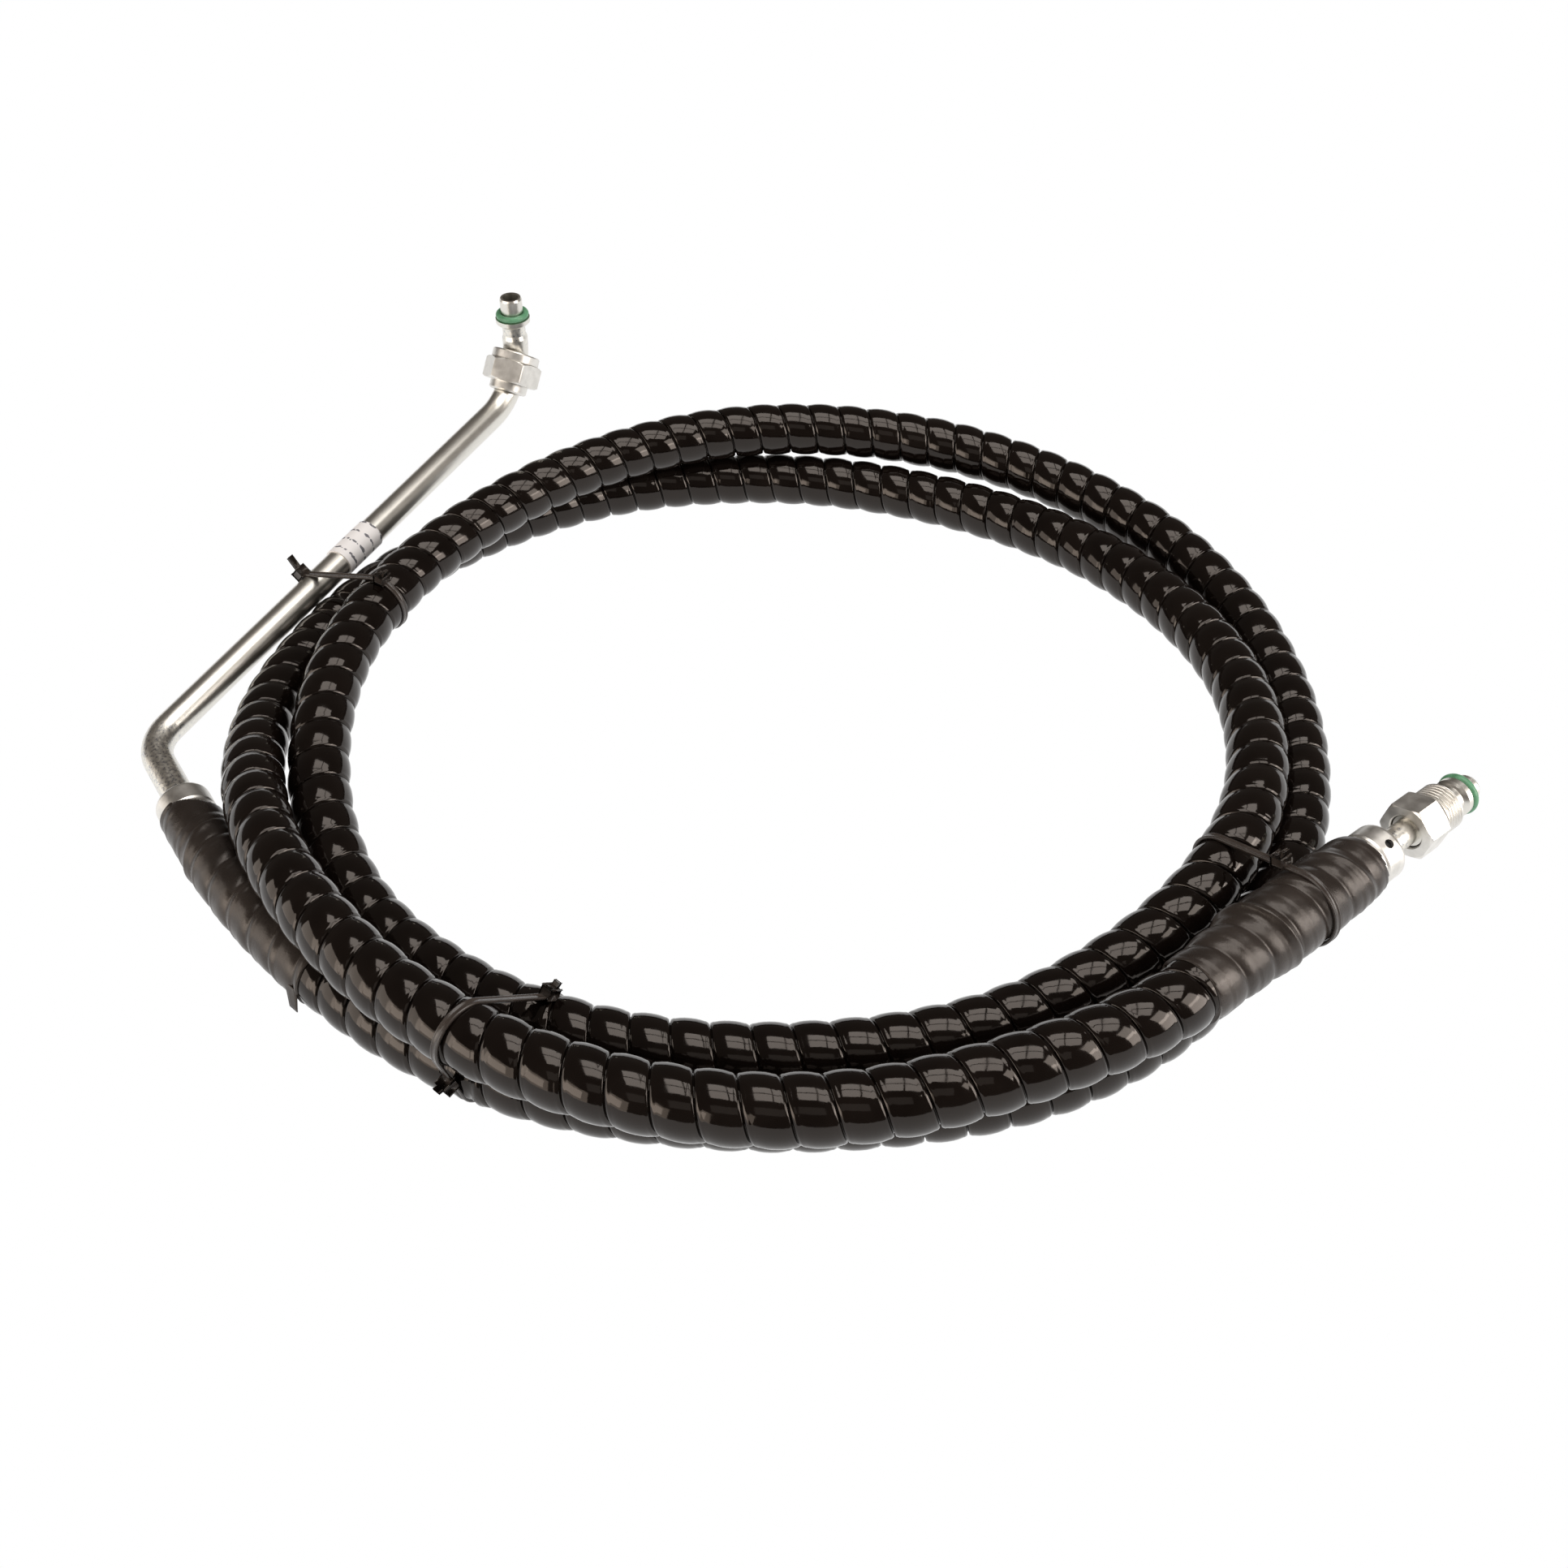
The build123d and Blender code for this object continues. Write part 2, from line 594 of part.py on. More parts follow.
stem_b_outline = [
    (SHANK_OD / 2, STEM_START),
    (TUBE_OD / 2, STEM_START),
    (TUBE_OD / 2, BEAD_B[0] - BEAD_B_SHOULDER),
    (BEAD_B_OD / 2 - BEAD_B_EDGE[0], BEAD_B[0] - BEAD_B_EDGE[1]),
    (BEAD_B_OD / 2, BEAD_B[0] + BEAD_B_EDGE[2]),
    (BEAD_B_OD / 2, BEAD_B[1]),
    (GROOVE_B_OD / 2, BEAD_B[1]),
    (GROOVE_B_OD / 2, GROOVE_B_END),
    (NOSE_B_OD / 2, GROOVE_B_END),
    (NOSE_B_OD / 2, NOSE_B_TIP - TIP_CHAMFER),
    (NOSE_B_OD / 2 - TIP_CHAMFER / 2, NOSE_B_TIP),
    (NOSE_BORE / 2, NOSE_B_TIP),
    (NOSE_BORE / 2, STEM_START + SOCKET_DEPTH),
    (SHANK_OD / 2, STEM_START + SOCKET_DEPTH),
]
with BuildPart() as stem_b:
    revolve(half_section(face_b, axis_b, stem_b_outline), axis=Axis(face_b, axis_b))
stem_b.part.label = "stem_b"
export_step(stem_b.part, "parts/stem_b.step")

ring_b_centre = face_b + axis_b * (BEAD_B[1] + RING_B_SECTION / 2)
with BuildPart() as o_ring_b:
    with Locations(Plane(origin=ring_b_centre, z_dir=axis_b)):
        Torus((GROOVE_B_OD + RING_B_SECTION) / 2, RING_B_SECTION / 2)
o_ring_b.part.label = "o_ring_b"
export_step(o_ring_b.part, "parts/o_ring_b.step")

nut_b_length = NUT_B_HEX_LENGTH + NUT_B_THREAD_LENGTH
hex_b_corner = NUT_B_HEX / 2 / cos(pi / 6)
nut_b_envelope = [
    (0, 0),
    (hex_b_corner - HEX_CHAMFER, 0),
    (hex_b_corner, HEX_CHAMFER / 2),
    (hex_b_corner, NUT_B_HEX_LENGTH - HEX_CHAMFER / 2),
    (hex_b_corner - HEX_CHAMFER, NUT_B_HEX_LENGTH),
    (NUT_B_RELIEF_OD / 2, NUT_B_HEX_LENGTH),
    (NUT_B_RELIEF_OD / 2, NUT_B_HEX_LENGTH + NUT_B_RELIEF),
    (NUT_B_THREAD_OD / 2, NUT_B_HEX_LENGTH + NUT_B_RELIEF + NUT_B_THREAD_LEAD),
    (NUT_B_THREAD_OD / 2, nut_b_length - NUT_B_THREAD_LEAD),
    (NUT_B_THREAD_OD / 2 - NUT_B_THREAD_LEAD, nut_b_length),
    (0, nut_b_length),
]
with BuildPart() as nut_b:
    with BuildSketch(Plane(origin=nut_b_rear, z_dir=axis_b)):
        RegularPolygon(NUT_B_HEX / 2, 6, major_radius=False)
    extrude(amount=NUT_B_HEX_LENGTH)
    with BuildSketch(Plane(origin=nut_b_rear, z_dir=axis_b)):
        Circle(NUT_B_THREAD_OD / 2)
    extrude(amount=nut_b_length)
    nut_b_line = Axis(nut_b_rear, axis_b)
    envelope = half_section(nut_b_rear, axis_b, nut_b_envelope)
    revolve(envelope, axis=nut_b_line, mode=Mode.INTERSECT)
    with BuildSketch(Plane(origin=nut_b_rear, z_dir=axis_b)):
        Circle(NUT_B_BORE / 2)
    extrude(amount=nut_b_length, mode=Mode.SUBTRACT)
nut_b.part.label = "nut_b"
export_step(nut_b.part, "parts/nut_b.step")


# ---------------------------------------------------------------- figures for the record

pieces = [
    hose_liner, hose_braid, hose_cover, spiral_guard, tape_a, tape_b, tube_a, stem_b, nut_a,
]
low = Vector(*(min(getattr(piece.part.bounding_box().min, side) for piece in pieces)
               for side in "XYZ"))
high = Vector(*(max(getattr(piece.part.bounding_box().max, side) for piece in pieces)
                for side in "XYZ"))
print("box", low, high, "middle", (low + high) / 2)
print("hose length", round(route.length, 1), "guard length", round(guard_route.length, 1))
print("ferrule faces", face_a, axis_a, face_b, axis_b)
print("nut A", nut_a_rear, nut_a_axis, "centre", nut_a_centre)
print("nut B", nut_b_rear)
print("nose A", nose_a, "bend starts", bend_start)
print("tube run", first_corner, second_corner, run_direction)
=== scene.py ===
from bisect import bisect
from math import ceil, cos, exp, pi, radians, sin, tan

import bmesh
import bpy
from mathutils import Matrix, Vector, noise


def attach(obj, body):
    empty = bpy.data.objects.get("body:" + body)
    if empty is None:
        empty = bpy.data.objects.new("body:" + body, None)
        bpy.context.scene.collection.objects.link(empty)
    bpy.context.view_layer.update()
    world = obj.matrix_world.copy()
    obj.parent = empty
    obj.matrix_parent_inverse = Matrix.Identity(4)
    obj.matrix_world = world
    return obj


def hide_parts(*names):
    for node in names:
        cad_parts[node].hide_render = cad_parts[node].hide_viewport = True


# The looks of the hose assembly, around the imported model. Named lengths are in millimetres, and
# MM turns them into Blender's metres.

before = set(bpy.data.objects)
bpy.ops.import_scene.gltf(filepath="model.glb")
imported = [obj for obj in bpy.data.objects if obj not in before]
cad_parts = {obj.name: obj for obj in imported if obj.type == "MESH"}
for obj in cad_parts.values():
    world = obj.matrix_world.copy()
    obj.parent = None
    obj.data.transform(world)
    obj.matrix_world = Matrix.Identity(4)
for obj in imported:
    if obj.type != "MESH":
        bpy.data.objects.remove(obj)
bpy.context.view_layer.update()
scene = bpy.context.scene
MM = 0.001
UP = Vector((0, 0, 1))

# ---------------------------------------------------------------- camera

CAMERA_PLACE = (0.1, -555.55, 488.2)
CAMERA_DOWN = 43.0
CAMERA_LENS = 39.3

camera_data = bpy.data.cameras.new("camera")
camera_data.lens = CAMERA_LENS
camera_data.clip_start = 0.01
camera = bpy.data.objects.new("camera", camera_data)
camera.location = Vector(CAMERA_PLACE) * MM
camera.rotation_euler = (radians(90 - CAMERA_DOWN), 0, 0)
scene.collection.objects.link(camera)
scene.camera = camera
scene.view_settings.view_transform = "Standard"

# ---------------------------------------------------------------- sizes shared with the frame

COVER_OD = 19.0
GUARD_OD = 25.0
FERRULE_WALL = 3.5
GUARD_START = 36.0
TUBE_OD = 12.7

# the hose's line at each step round the coil, as (radius, height)
COIL_CENTRE = (0.1, -1.05)
COIL_FIRST_ANGLE = 240.0
COIL_STEP = 30.0
COIL_TURNS = [
    (224, 13.0), (215, 15.0), (224, 12.5), (222, 12.5), (222, 14.0), (222, 20.0),
    (211, 28.0), (194, 38.0), (186, 38.0), (192, 28.5), (196, 31.0), (204, 12.5),
    (197, 12.5), (189, 12.5), (196, 17.5), (205, 34.0), (199, 26.5), (189, 19.0),
    (184, 12.5), (186, 12.5), (198, 12.5), (212, 12.5), (226, 14.5), (225, 40.5),
    (229, 38.0), (233, 36.5), (229, 40.0),
]
FACE_A = (-241.1, -58.1, 15.5)
LEAD_A = (-204.1, -115.1, 13.1)
FACE_B = (221.4, -107.5, 38.5)
LEAD_B = (166.0, -151.8, 37.6)
TUBE_LEAD = 38.5
TUBE_CORNER = (-135.6, 230.1, 36.0)


def from_centre(x, y, z):
    """A point measured from the coil's centre, in metres."""
    return Vector((COIL_CENTRE[0] + x, COIL_CENTRE[1] + y, z)) * MM


face_a = from_centre(*FACE_A)
lead_a = from_centre(*LEAD_A)
face_b = from_centre(*FACE_B)
lead_b = from_centre(*LEAD_B)
axis_a = (face_a - lead_a).normalized()
axis_b = (face_b - lead_b).normalized()
first_corner = face_a + axis_a * TUBE_LEAD * MM
run_direction = (from_centre(*TUBE_CORNER) - first_corner).normalized()


# ---------------------------------------------------------------- lines and skins

class Line:
    """A smooth line through close points, with its frame at any distance along it."""

    def __init__(self, points):
        self.points = points
        self.reach = [0.0]
        for near, far in zip(points, points[1:]):
            self.reach.append(self.reach[-1] + (far - near).length)
        self.length = self.reach[-1]
        self.directions = []
        for number in range(len(points)):
            near = points[max(number - 1, 0)]
            far = points[min(number + 1, len(points) - 1)]
            self.directions.append((far - near).normalized())

    def at(self, distance):
        """Point, direction, side and upward vectors at a distance from the start."""
        place = min(max(bisect(self.reach, distance) - 1, 0), len(self.points) - 2)
        share = (distance - self.reach[place]) / (self.reach[place + 1] - self.reach[place])
        point = self.points[place].lerp(self.points[place + 1], share)
        limited = min(max(share, 0), 1)
        along = self.directions[place].lerp(self.directions[place + 1], limited).normalized()
        side = along.cross(UP).normalized()
        return point, along, side, side.cross(along)


def mesh_piece(name, body):
    """Makes a linked, smooth-shaded object of a finished bmesh."""
    mesh = bpy.data.meshes.new(name)
    body.to_mesh(mesh)
    body.free()
    mesh.shade_smooth()
    piece = bpy.data.objects.new(name, mesh)
    scene.collection.objects.link(piece)
    return piece


def wound_skin(name, line, start, stop, pitch, shares, columns, radius):
    """A closed skin round a line whose rows follow a right-hand helix of that pitch.

    shares are the rows' places within one turn, and radius(share, distance, angle, point) is
    the skin's distance from the line at a point of it.
    """
    body = bmesh.new()
    first = -2
    last = ceil((stop - start) / pitch) + 1
    rows = []
    places = []
    for turn in range(first, last + 1):
        for share in shares:
            row = []
            row_places = []
            for column in range(columns):
                wanted = start + pitch * (turn + share + column / columns)
                distance = min(max(wanted, start), stop)
                phase = ((distance - start) / pitch - column / columns) % 1
                if 0 < wanted - start < stop - start:
                    phase = share
                angle = 2 * pi * column / columns
                point, along, side, above = line.at(distance)
                outwards = above * cos(angle) + side * sin(angle)
                reach = radius(phase, distance, angle, point)
                row.append(body.verts.new(point + outwards * reach))
                row_places.append(distance)
            rows.append(row)
            places.append(row_places)
    steps = len(shares)
    for number in range(len(rows) - steps - 1):
        for column in range(columns):
            beside = (column + 1) % columns
            jump = steps if beside == 0 else 0
            corners = [
                (number, column), (number + 1, column),
                (number + 1 + jump, beside), (number + jump, beside),
            ]
            ends = {places[row][at] for row, at in corners}
            if ends == {start} or ends == {stop}:
                continue
            body.faces.new([rows[row][at] for row, at in corners])
    bmesh.ops.remove_doubles(body, verts=body.verts, dist=1e-6)
    loose = [vert for vert in body.verts if not vert.link_faces]
    bmesh.ops.delete(body, geom=loose, context="VERTS")
    edges = [edge for edge in body.edges if edge.is_boundary]
    bmesh.ops.holes_fill(body, edges=edges, sides=0)
    bmesh.ops.recalc_face_normals(body, faces=body.faces)
    return mesh_piece(name, body)


# ---------------------------------------------------------------- hose, the free line

turns = []
for number, (reach, height) in enumerate(COIL_TURNS):
    angle = radians(COIL_FIRST_ANGLE + number * COIL_STEP)
    turns.append(from_centre(reach * cos(angle), reach * sin(angle), height))
hose_end_a = face_a - axis_a * FERRULE_WALL * MM
hose_end_b = face_b - axis_b * FERRULE_WALL * MM
route_points = [hose_end_a, lead_a, *turns, lead_b, hose_end_b]

hose_curve = bpy.data.curves.new("hose", "CURVE")
hose_curve.dimensions = "3D"
hose_curve.resolution_u = 24
hose_curve.use_fill_caps = True
spline = hose_curve.splines.new("NURBS")
spline.points.add(len(route_points) - 1)
for control, point in zip(spline.points, route_points):
    control.co = (*point, 1)
spline.order_u = 3
spline.use_endpoint_u = True
hose = bpy.data.objects.new("hose", hose_curve)
scene.collection.objects.link(hose)

hose_mesh = bpy.data.meshes.new_from_object(hose)
hose_line = Line([vertex.co.copy() for vertex in hose_mesh.vertices])
hose_curve.bevel_depth = COVER_OD / 2 * MM
hose_curve.bevel_resolution = 6
bpy.data.meshes.remove(hose_mesh)

# ---------------------------------------------------------------- where the cable ties go

TIE_WIDTH = 3.0
TIE_THICKNESS = 1.2
TIE_BITE = 1.4
TIE_PRESS = 0.3
TIE_HEAD = (4.8, 4.8, 4.0)
TIE_TAILS = {"left": (6.0, 2.6), "front": (2.0, 2.0), "right": (2.6, 2.6)}
FLOOR_STRAND = 16.0
BUNDLE_HALF_WIDTH = 60.0
LOOP_SPACING = 1.2
CIRCLE_STEPS = 120
PRESS_REACH = 3.0
PRESS_PLAY = 0.1
PRESS_SLOPE = 1.4
TAPE_A_END = 113.0
TAPE_B_END = 104.0
TAPE_B_TIED_RADIUS = 14.3
TIE_PLACES = {
    "left": ((-196.0, 65.0), -28.0, (165.0, 40.0)),
    "front": ((-99.8, -186.1), 49.0, (6.0, 178.0)),
    "right": ((175.0, -123.0), -51.35, (78.0, 205.0)),
}


class TiePlace:
    """One tied place: its plane and the circles that the straps go round, in millimetres."""

    def __init__(self, name):
        spot, across, self.head_directions = TIE_PLACES[name]
        self.name = name
        self.origin = from_centre(*spot, 0)
        self.across = Vector((cos(radians(across)), sin(radians(across)), 0))
        self.normal = self.across.cross(UP)
        self.circles = []
        distance = 0
        for near, far in zip(hose_line.points, hose_line.points[1:]):
            crossing = self.crossing(near, far)
            distance += (far - near).length
            if crossing is None:
                continue
            if hose_line.length - distance < TAPE_B_END * MM:
                reach = TAPE_B_TIED_RADIUS
            elif crossing[1] < FLOOR_STRAND:
                reach = GUARD_OD / 2 - TIE_BITE
            else:
                reach = GUARD_OD / 2 - TIE_PRESS
            self.circles.append((*crossing, reach))
        tube = self.crossing(first_corner, from_centre(*TUBE_CORNER))
        if tube:
            self.circles.append((*tube, TUBE_OD / 2))

    def crossing(self, near, far):
        """Where a straight stretch meets the plane near its origin, as (across, height)."""
        before = (near - self.origin).dot(self.normal)
        after = (far - self.origin).dot(self.normal)
        if before * after >= 0:
            return None
        point = near.lerp(far, before / (before - after))
        across = (point - self.origin).dot(self.across) / MM
        return (across, point.z / MM) if abs(across) < BUNDLE_HALF_WIDTH else None

    def press(self, point, reach):
        """The guard's radius where the strap presses on it."""
        away = abs((point - self.origin).dot(self.normal)) / MM
        sideways = abs((point - self.origin).dot(self.across)) / MM
        if away > PRESS_REACH or sideways > BUNDLE_HALF_WIDTH:
            return reach
        bite = TIE_BITE if point.z < FLOOR_STRAND * MM else TIE_PRESS
        limit = GUARD_OD / 2 - bite - PRESS_PLAY
        beyond_strap = max(away - TIE_WIDTH / 2 - PRESS_PLAY, 0)
        return min(reach, limit + beyond_strap * PRESS_SLOPE)

    def loop(self):
        """The taut loop round the circles: evenly spaced (across, height) points."""
        dots = []
        for x, z, reach in self.circles:
            for step in range(CIRCLE_STEPS):
                turn = 2 * pi * step / CIRCLE_STEPS
                dots.append((x + reach * cos(turn), z + reach * sin(turn)))
        dots.sort()
        chains = []
        for ordered in (dots, dots[::-1]):
            chain = []
            for dot in ordered:
                while len(chain) > 1 and turns_right(chain[-2], chain[-1], dot):
                    chain.pop()
                chain.append(dot)
            chains.append(chain[:-1])
        corners = [Vector(dot) for dot in chains[0] + chains[1]]
        evened = []
        for near, far in zip(corners, corners[1:] + corners[:1]):
            count = max(1, ceil((far - near).length / LOOP_SPACING))
            evened += [near.lerp(far, step / count) for step in range(count)]
        return evened

    def at(self, flat, along=0.0):
        """A point of the plane from (across, height), moved along the strands, in metres."""
        shift = self.across * flat[0] + UP * flat[1] + self.normal * along
        return Vector((self.origin.x, self.origin.y, 0)) + shift * MM


def turns_right(first, second, third):
    """Whether three flat points don't turn left."""
    ahead = (second[0] - first[0]) * (third[1] - first[1])
    return ahead - (second[1] - first[1]) * (third[0] - first[0]) <= 0


tie_places = [TiePlace(name) for name in TIE_PLACES]

# ---------------------------------------------------------------- spiral guard

GUARD_PITCH = 14.5
GUARD_CREST = GUARD_OD / 2
GUARD_BULGE = 1.35
GUARD_GAP = 0.28
GUARD_GAP_DEPTH = 1.0
LIP_HEIGHT = 0.16
LIP_PLACE = 1.15
LIP_WIDTH = 0.5
GUARD_COLUMNS = 40
GUARD_ROUNDING = 2.4
GUARD_SWELL = 0.10
GUARD_SWELL_SCALE = 35
SEAM_DISTANCES = (0.0, 0.2, 0.34, 0.6, 0.95, 1.35, 1.8, 2.5, 3.6, 5.2)


def guard_shares(pitch, distances):
    """Rows close together at the seam and far apart on the crest."""
    shares = [distance / pitch for distance in distances]
    return shares + [0.5] + [1 - share for share in reversed(shares[1:])]


def guard_profile(share, pitch):
    """The guard's radius in millimetres at a share of its turn, the seam being at 0."""
    from_seam = min(share, 1 - share) * pitch
    hollow = abs(1 - 2 * from_seam / pitch) ** GUARD_ROUNDING
    reach = GUARD_CREST - GUARD_BULGE * hollow
    reach += LIP_HEIGHT * exp(-(((from_seam - LIP_PLACE) / LIP_WIDTH) ** 2))
    if from_seam < GUARD_GAP:
        reach -= GUARD_GAP_DEPTH
    return reach


def guard_radius(share, distance, angle, point):
    """Guard with small swells from turn to turn."""
    swell = GUARD_SWELL * noise.noise(point * GUARD_SWELL_SCALE) - GUARD_SWELL
    reach = guard_profile(share, GUARD_PITCH) + swell
    for place in tie_places:
        reach = place.press(point, reach)
    return reach * MM


guard_start = (GUARD_START - FERRULE_WALL) * MM
guard = wound_skin(
    "guard", hose_line, guard_start, hose_line.length - guard_start, GUARD_PITCH * MM,
    guard_shares(GUARD_PITCH, SEAM_DISTANCES), GUARD_COLUMNS, guard_radius,
)

# ---------------------------------------------------------------- tape over both ends

TAPE_START = 9.0
TAPE_SEAM_DEPTH = 1.1
TAPE_LAP = 0.22
TAPE_HIDDEN_RADIUS = 10.4
TAPE_A_EDGE = (5.6, 6.5, 300)
TAPE_B_EDGE = (8.6, 1.5, 60)
TAPE_SHARES = [number / 20 for number in range(20)]
TAPE_COLUMNS = 64
TAPE_ON_GUARD = (24, 40)
TAPE_SEAM_ON_FERRULE = 0.35
TAPE_SEAM_SHARPNESS = 4
TAPE_EDGE_WAVE = 0.8
TAPE_EDGE_SCALE = 150
WRINKLE_SCALES = (90, 260)
FINE_WRINKLE_SHARE = 0.5
FOLD_SKEW = 5
FOLD_WAVE = 1.5
FOLD_WAVE_SCALE = 200
FOLD_FADE = 0.6


def smooth_step(value, low, high):
    """0 below low, 1 above high, and a smooth rise between."""
    share = min(max((value - low) / (high - low), 0), 1)
    return share * share * (3 - 2 * share)


def tape_radius_from(outline, lap_share, waviness, folds, edge):
    """A radius function from an outline of (distance in millimetres, radius) points.

    A fold is (distance, width, height, angle in degrees): a crumpled ridge on one side.
    The edge is (distance, how much further it starts on one side, that side's angle): before
    it the skin is out of sight under the ferrule's surface.
    """

    def radius(share, distance, angle, point):
        along = distance / MM
        for near, far in zip(outline, outline[1:]):
            if along <= far[0]:
                break
        rise = smooth_step(along, near[0], far[0])
        reach = near[1] + (far[1] - near[1]) * rise
        over_guard = smooth_step(along, *TAPE_ON_GUARD)
        hollow = abs(2 * share - 1) ** TAPE_SEAM_SHARPNESS
        seam = TAPE_SEAM_ON_FERRULE + (1 - TAPE_SEAM_ON_FERRULE) * over_guard
        reach -= TAPE_SEAM_DEPTH * hollow * seam
        reach += TAPE_LAP * ((share - lap_share) % 1)
        coarse, fine = (noise.noise(point * scale) for scale in WRINKLE_SCALES)
        wrinkle = coarse + FINE_WRINKLE_SHARE * fine
        edge_start, edge_slant, edge_side = edge
        edge_start += edge_slant * max(cos(angle - radians(edge_side)), 0)
        if along < edge_start + TAPE_EDGE_WAVE * noise.noise(point * TAPE_EDGE_SCALE):
            return TAPE_HIDDEN_RADIUS * MM
        for place, width, height, facing in folds:
            side = max(cos(angle - radians(facing)), 0) ** FOLD_FADE
            crest = place + FOLD_SKEW * sin(angle - radians(facing))
            crest += FOLD_WAVE * noise.noise(point * FOLD_WAVE_SCALE)
            reach += height * side * exp(-(((along - crest) / width) ** 2))
        return (reach + waviness * wrinkle) * MM

    return radius


TAPE_A_FOLDS = [(30, 1.6, 0.7, 40), (62, 1.4, 0.6, 300), (93, 1.8, 0.8, 20)]
TAPE_A_OUTLINE = [(5.5, 11.7), (14, 11.9), (27, 12.3), (40, 13.1), (100, 13.1), (113, 12.9)]
tape_a_radius = tape_radius_from(
    TAPE_A_OUTLINE, lap_share=0.3, waviness=0.22, folds=TAPE_A_FOLDS, edge=TAPE_A_EDGE
)
tape_a = wound_skin(
    "tape_a_wrap", hose_line, (TAPE_START - FERRULE_WALL) * MM, TAPE_A_END * MM,
    GUARD_PITCH * MM, TAPE_SHARES, TAPE_COLUMNS, tape_a_radius,
)

FLAP_END = 112.5
FLAP_WIDTH = 7.5
FLAP_ANGLES = (80, 112)
FLAP_START = 12.7
FLAP_LIFT = 3.6
FLAP_THICKNESS = 0.35
FLAP_NARROWING = 0.4
FLAP_DROOP = 2
FLAP_STEPS = 10
FLAP_COLUMNS = 4


def add_flap(piece, line):
    """A loose corner of tape that peels off the end of a wound skin."""
    body = bmesh.new()
    body.from_mesh(piece.data)
    grids = []
    for depth in (0, FLAP_THICKNESS):
        grid = []
        for step in range(FLAP_STEPS + 1):
            share = step / FLAP_STEPS
            angle = radians(FLAP_ANGLES[0] + (FLAP_ANGLES[1] - FLAP_ANGLES[0]) * share)
            reach = FLAP_START + FLAP_LIFT * share**2 - depth
            row = []
            for column in range(FLAP_COLUMNS + 1):
                back = FLAP_WIDTH * (1 - FLAP_NARROWING * share) * column / FLAP_COLUMNS
                distance = FLAP_END + FLAP_DROOP * share - back
                point, along, side, above = line.at(distance * MM)
                outwards = above * cos(angle) + side * sin(angle)
                row.append(body.verts.new(point + outwards * reach * MM))
            grid.append(row)
        grids.append(grid)
    made = []
    for grid in grids:
        for near, far in zip(grid, grid[1:]):
            for at in range(FLAP_COLUMNS):
                made.append(body.faces.new([near[at], far[at], far[at + 1], near[at + 1]]))
    outer, inner = grids
    rims = []
    for grid in (outer, inner):
        rim = [row[0] for row in grid] + grid[-1][1:]
        rim += [row[-1] for row in reversed(grid[:-1])] + list(reversed(grid[0][1:-1]))
        rims.append(rim)
    for at in range(len(rims[0])):
        beside = (at + 1) % len(rims[0])
        made.append(body.faces.new([rims[0][at], rims[0][beside], rims[1][beside], rims[1][at]]))
    bmesh.ops.recalc_face_normals(body, faces=made)
    for face in made:
        face.smooth = True
    body.to_mesh(piece.data)
    body.free()


add_flap(tape_a, hose_line)

reversed_line = Line(list(reversed(hose_line.points)))
TAPE_B_FOLDS = [(70, 2.0, 1.8, 20), (66, 1.6, 1.1, 320), (46, 1.4, 0.8, 0), (24, 1.5, 0.7, 340)]
TAPE_B_OUTLINE = [(5.5, 11.6), (16, 13.2), (34, 14.1), (60, 14.6), (84, 13.7), (104, 12.9)]
tape_b_radius = tape_radius_from(
    TAPE_B_OUTLINE, lap_share=0.6, waviness=0.3, folds=TAPE_B_FOLDS, edge=TAPE_B_EDGE
)
tape_b = wound_skin(
    "tape_b_wrap", reversed_line, (TAPE_START - FERRULE_WALL) * MM, TAPE_B_END * MM,
    GUARD_PITCH * MM, TAPE_SHARES, TAPE_COLUMNS, tape_b_radius,
)

# ---------------------------------------------------------------- nuts

SHARP_ANGLE = radians(25)
CHAMFER_SHARES = (0, 0.25, 0.5, 0.75, 1)
THREAD_FLAT = 0.14
THREAD_ROWS = 12


def turned_skin(name, origin, axis, rows, columns):
    """A closed ring of rows round an axis, each row a position and a radius(angle)."""
    side = axis.cross(UP).normalized()
    above = side.cross(axis)
    body = bmesh.new()
    rings = []
    for position, radius in rows:
        ring = []
        for column in range(columns):
            angle = 2 * pi * column / columns
            outwards = above * cos(angle) + side * sin(angle)
            ring.append(body.verts.new(origin + (axis * position + outwards * radius(angle)) * MM))
        rings.append(ring)
    for near, far in zip(rings, rings[1:] + rings[:1]):
        for column in range(columns):
            beside = (column + 1) % columns
            body.faces.new([near[column], far[column], far[beside], near[beside]])
    bmesh.ops.recalc_face_normals(body, faces=body.faces)
    piece = mesh_piece(name, body)
    edges = bmesh.new()
    edges.from_mesh(piece.data)
    for edge in edges.edges:
        edge.smooth = edge.calc_face_angle(0) < SHARP_ANGLE
    edges.to_mesh(piece.data)
    edges.free()
    return piece


def round_rows(points):
    """Plain round rows of (position, radius) points."""
    return [(position, lambda angle, reach=reach: reach) for position, reach in points]


def hexagon_at(across_flats, limit, turn):
    """A hexagonal row, its corners cut back to a limit."""

    def radius(angle):
        from_flat = (angle + turn + pi / 6) % (pi / 3) - pi / 6
        return min(across_flats / 2 / cos(from_flat), limit)

    return radius


def thread_at(position, pitch, crest, depth, amount):
    """A row of a right-hand thread; amount fades it in and out."""

    def radius(angle):
        phase = (position / pitch - angle / (2 * pi)) % 1
        hollow = smooth_step(abs(2 * phase - 1), THREAD_FLAT, 1 - THREAD_FLAT)
        return crest - depth * amount * hollow

    return radius


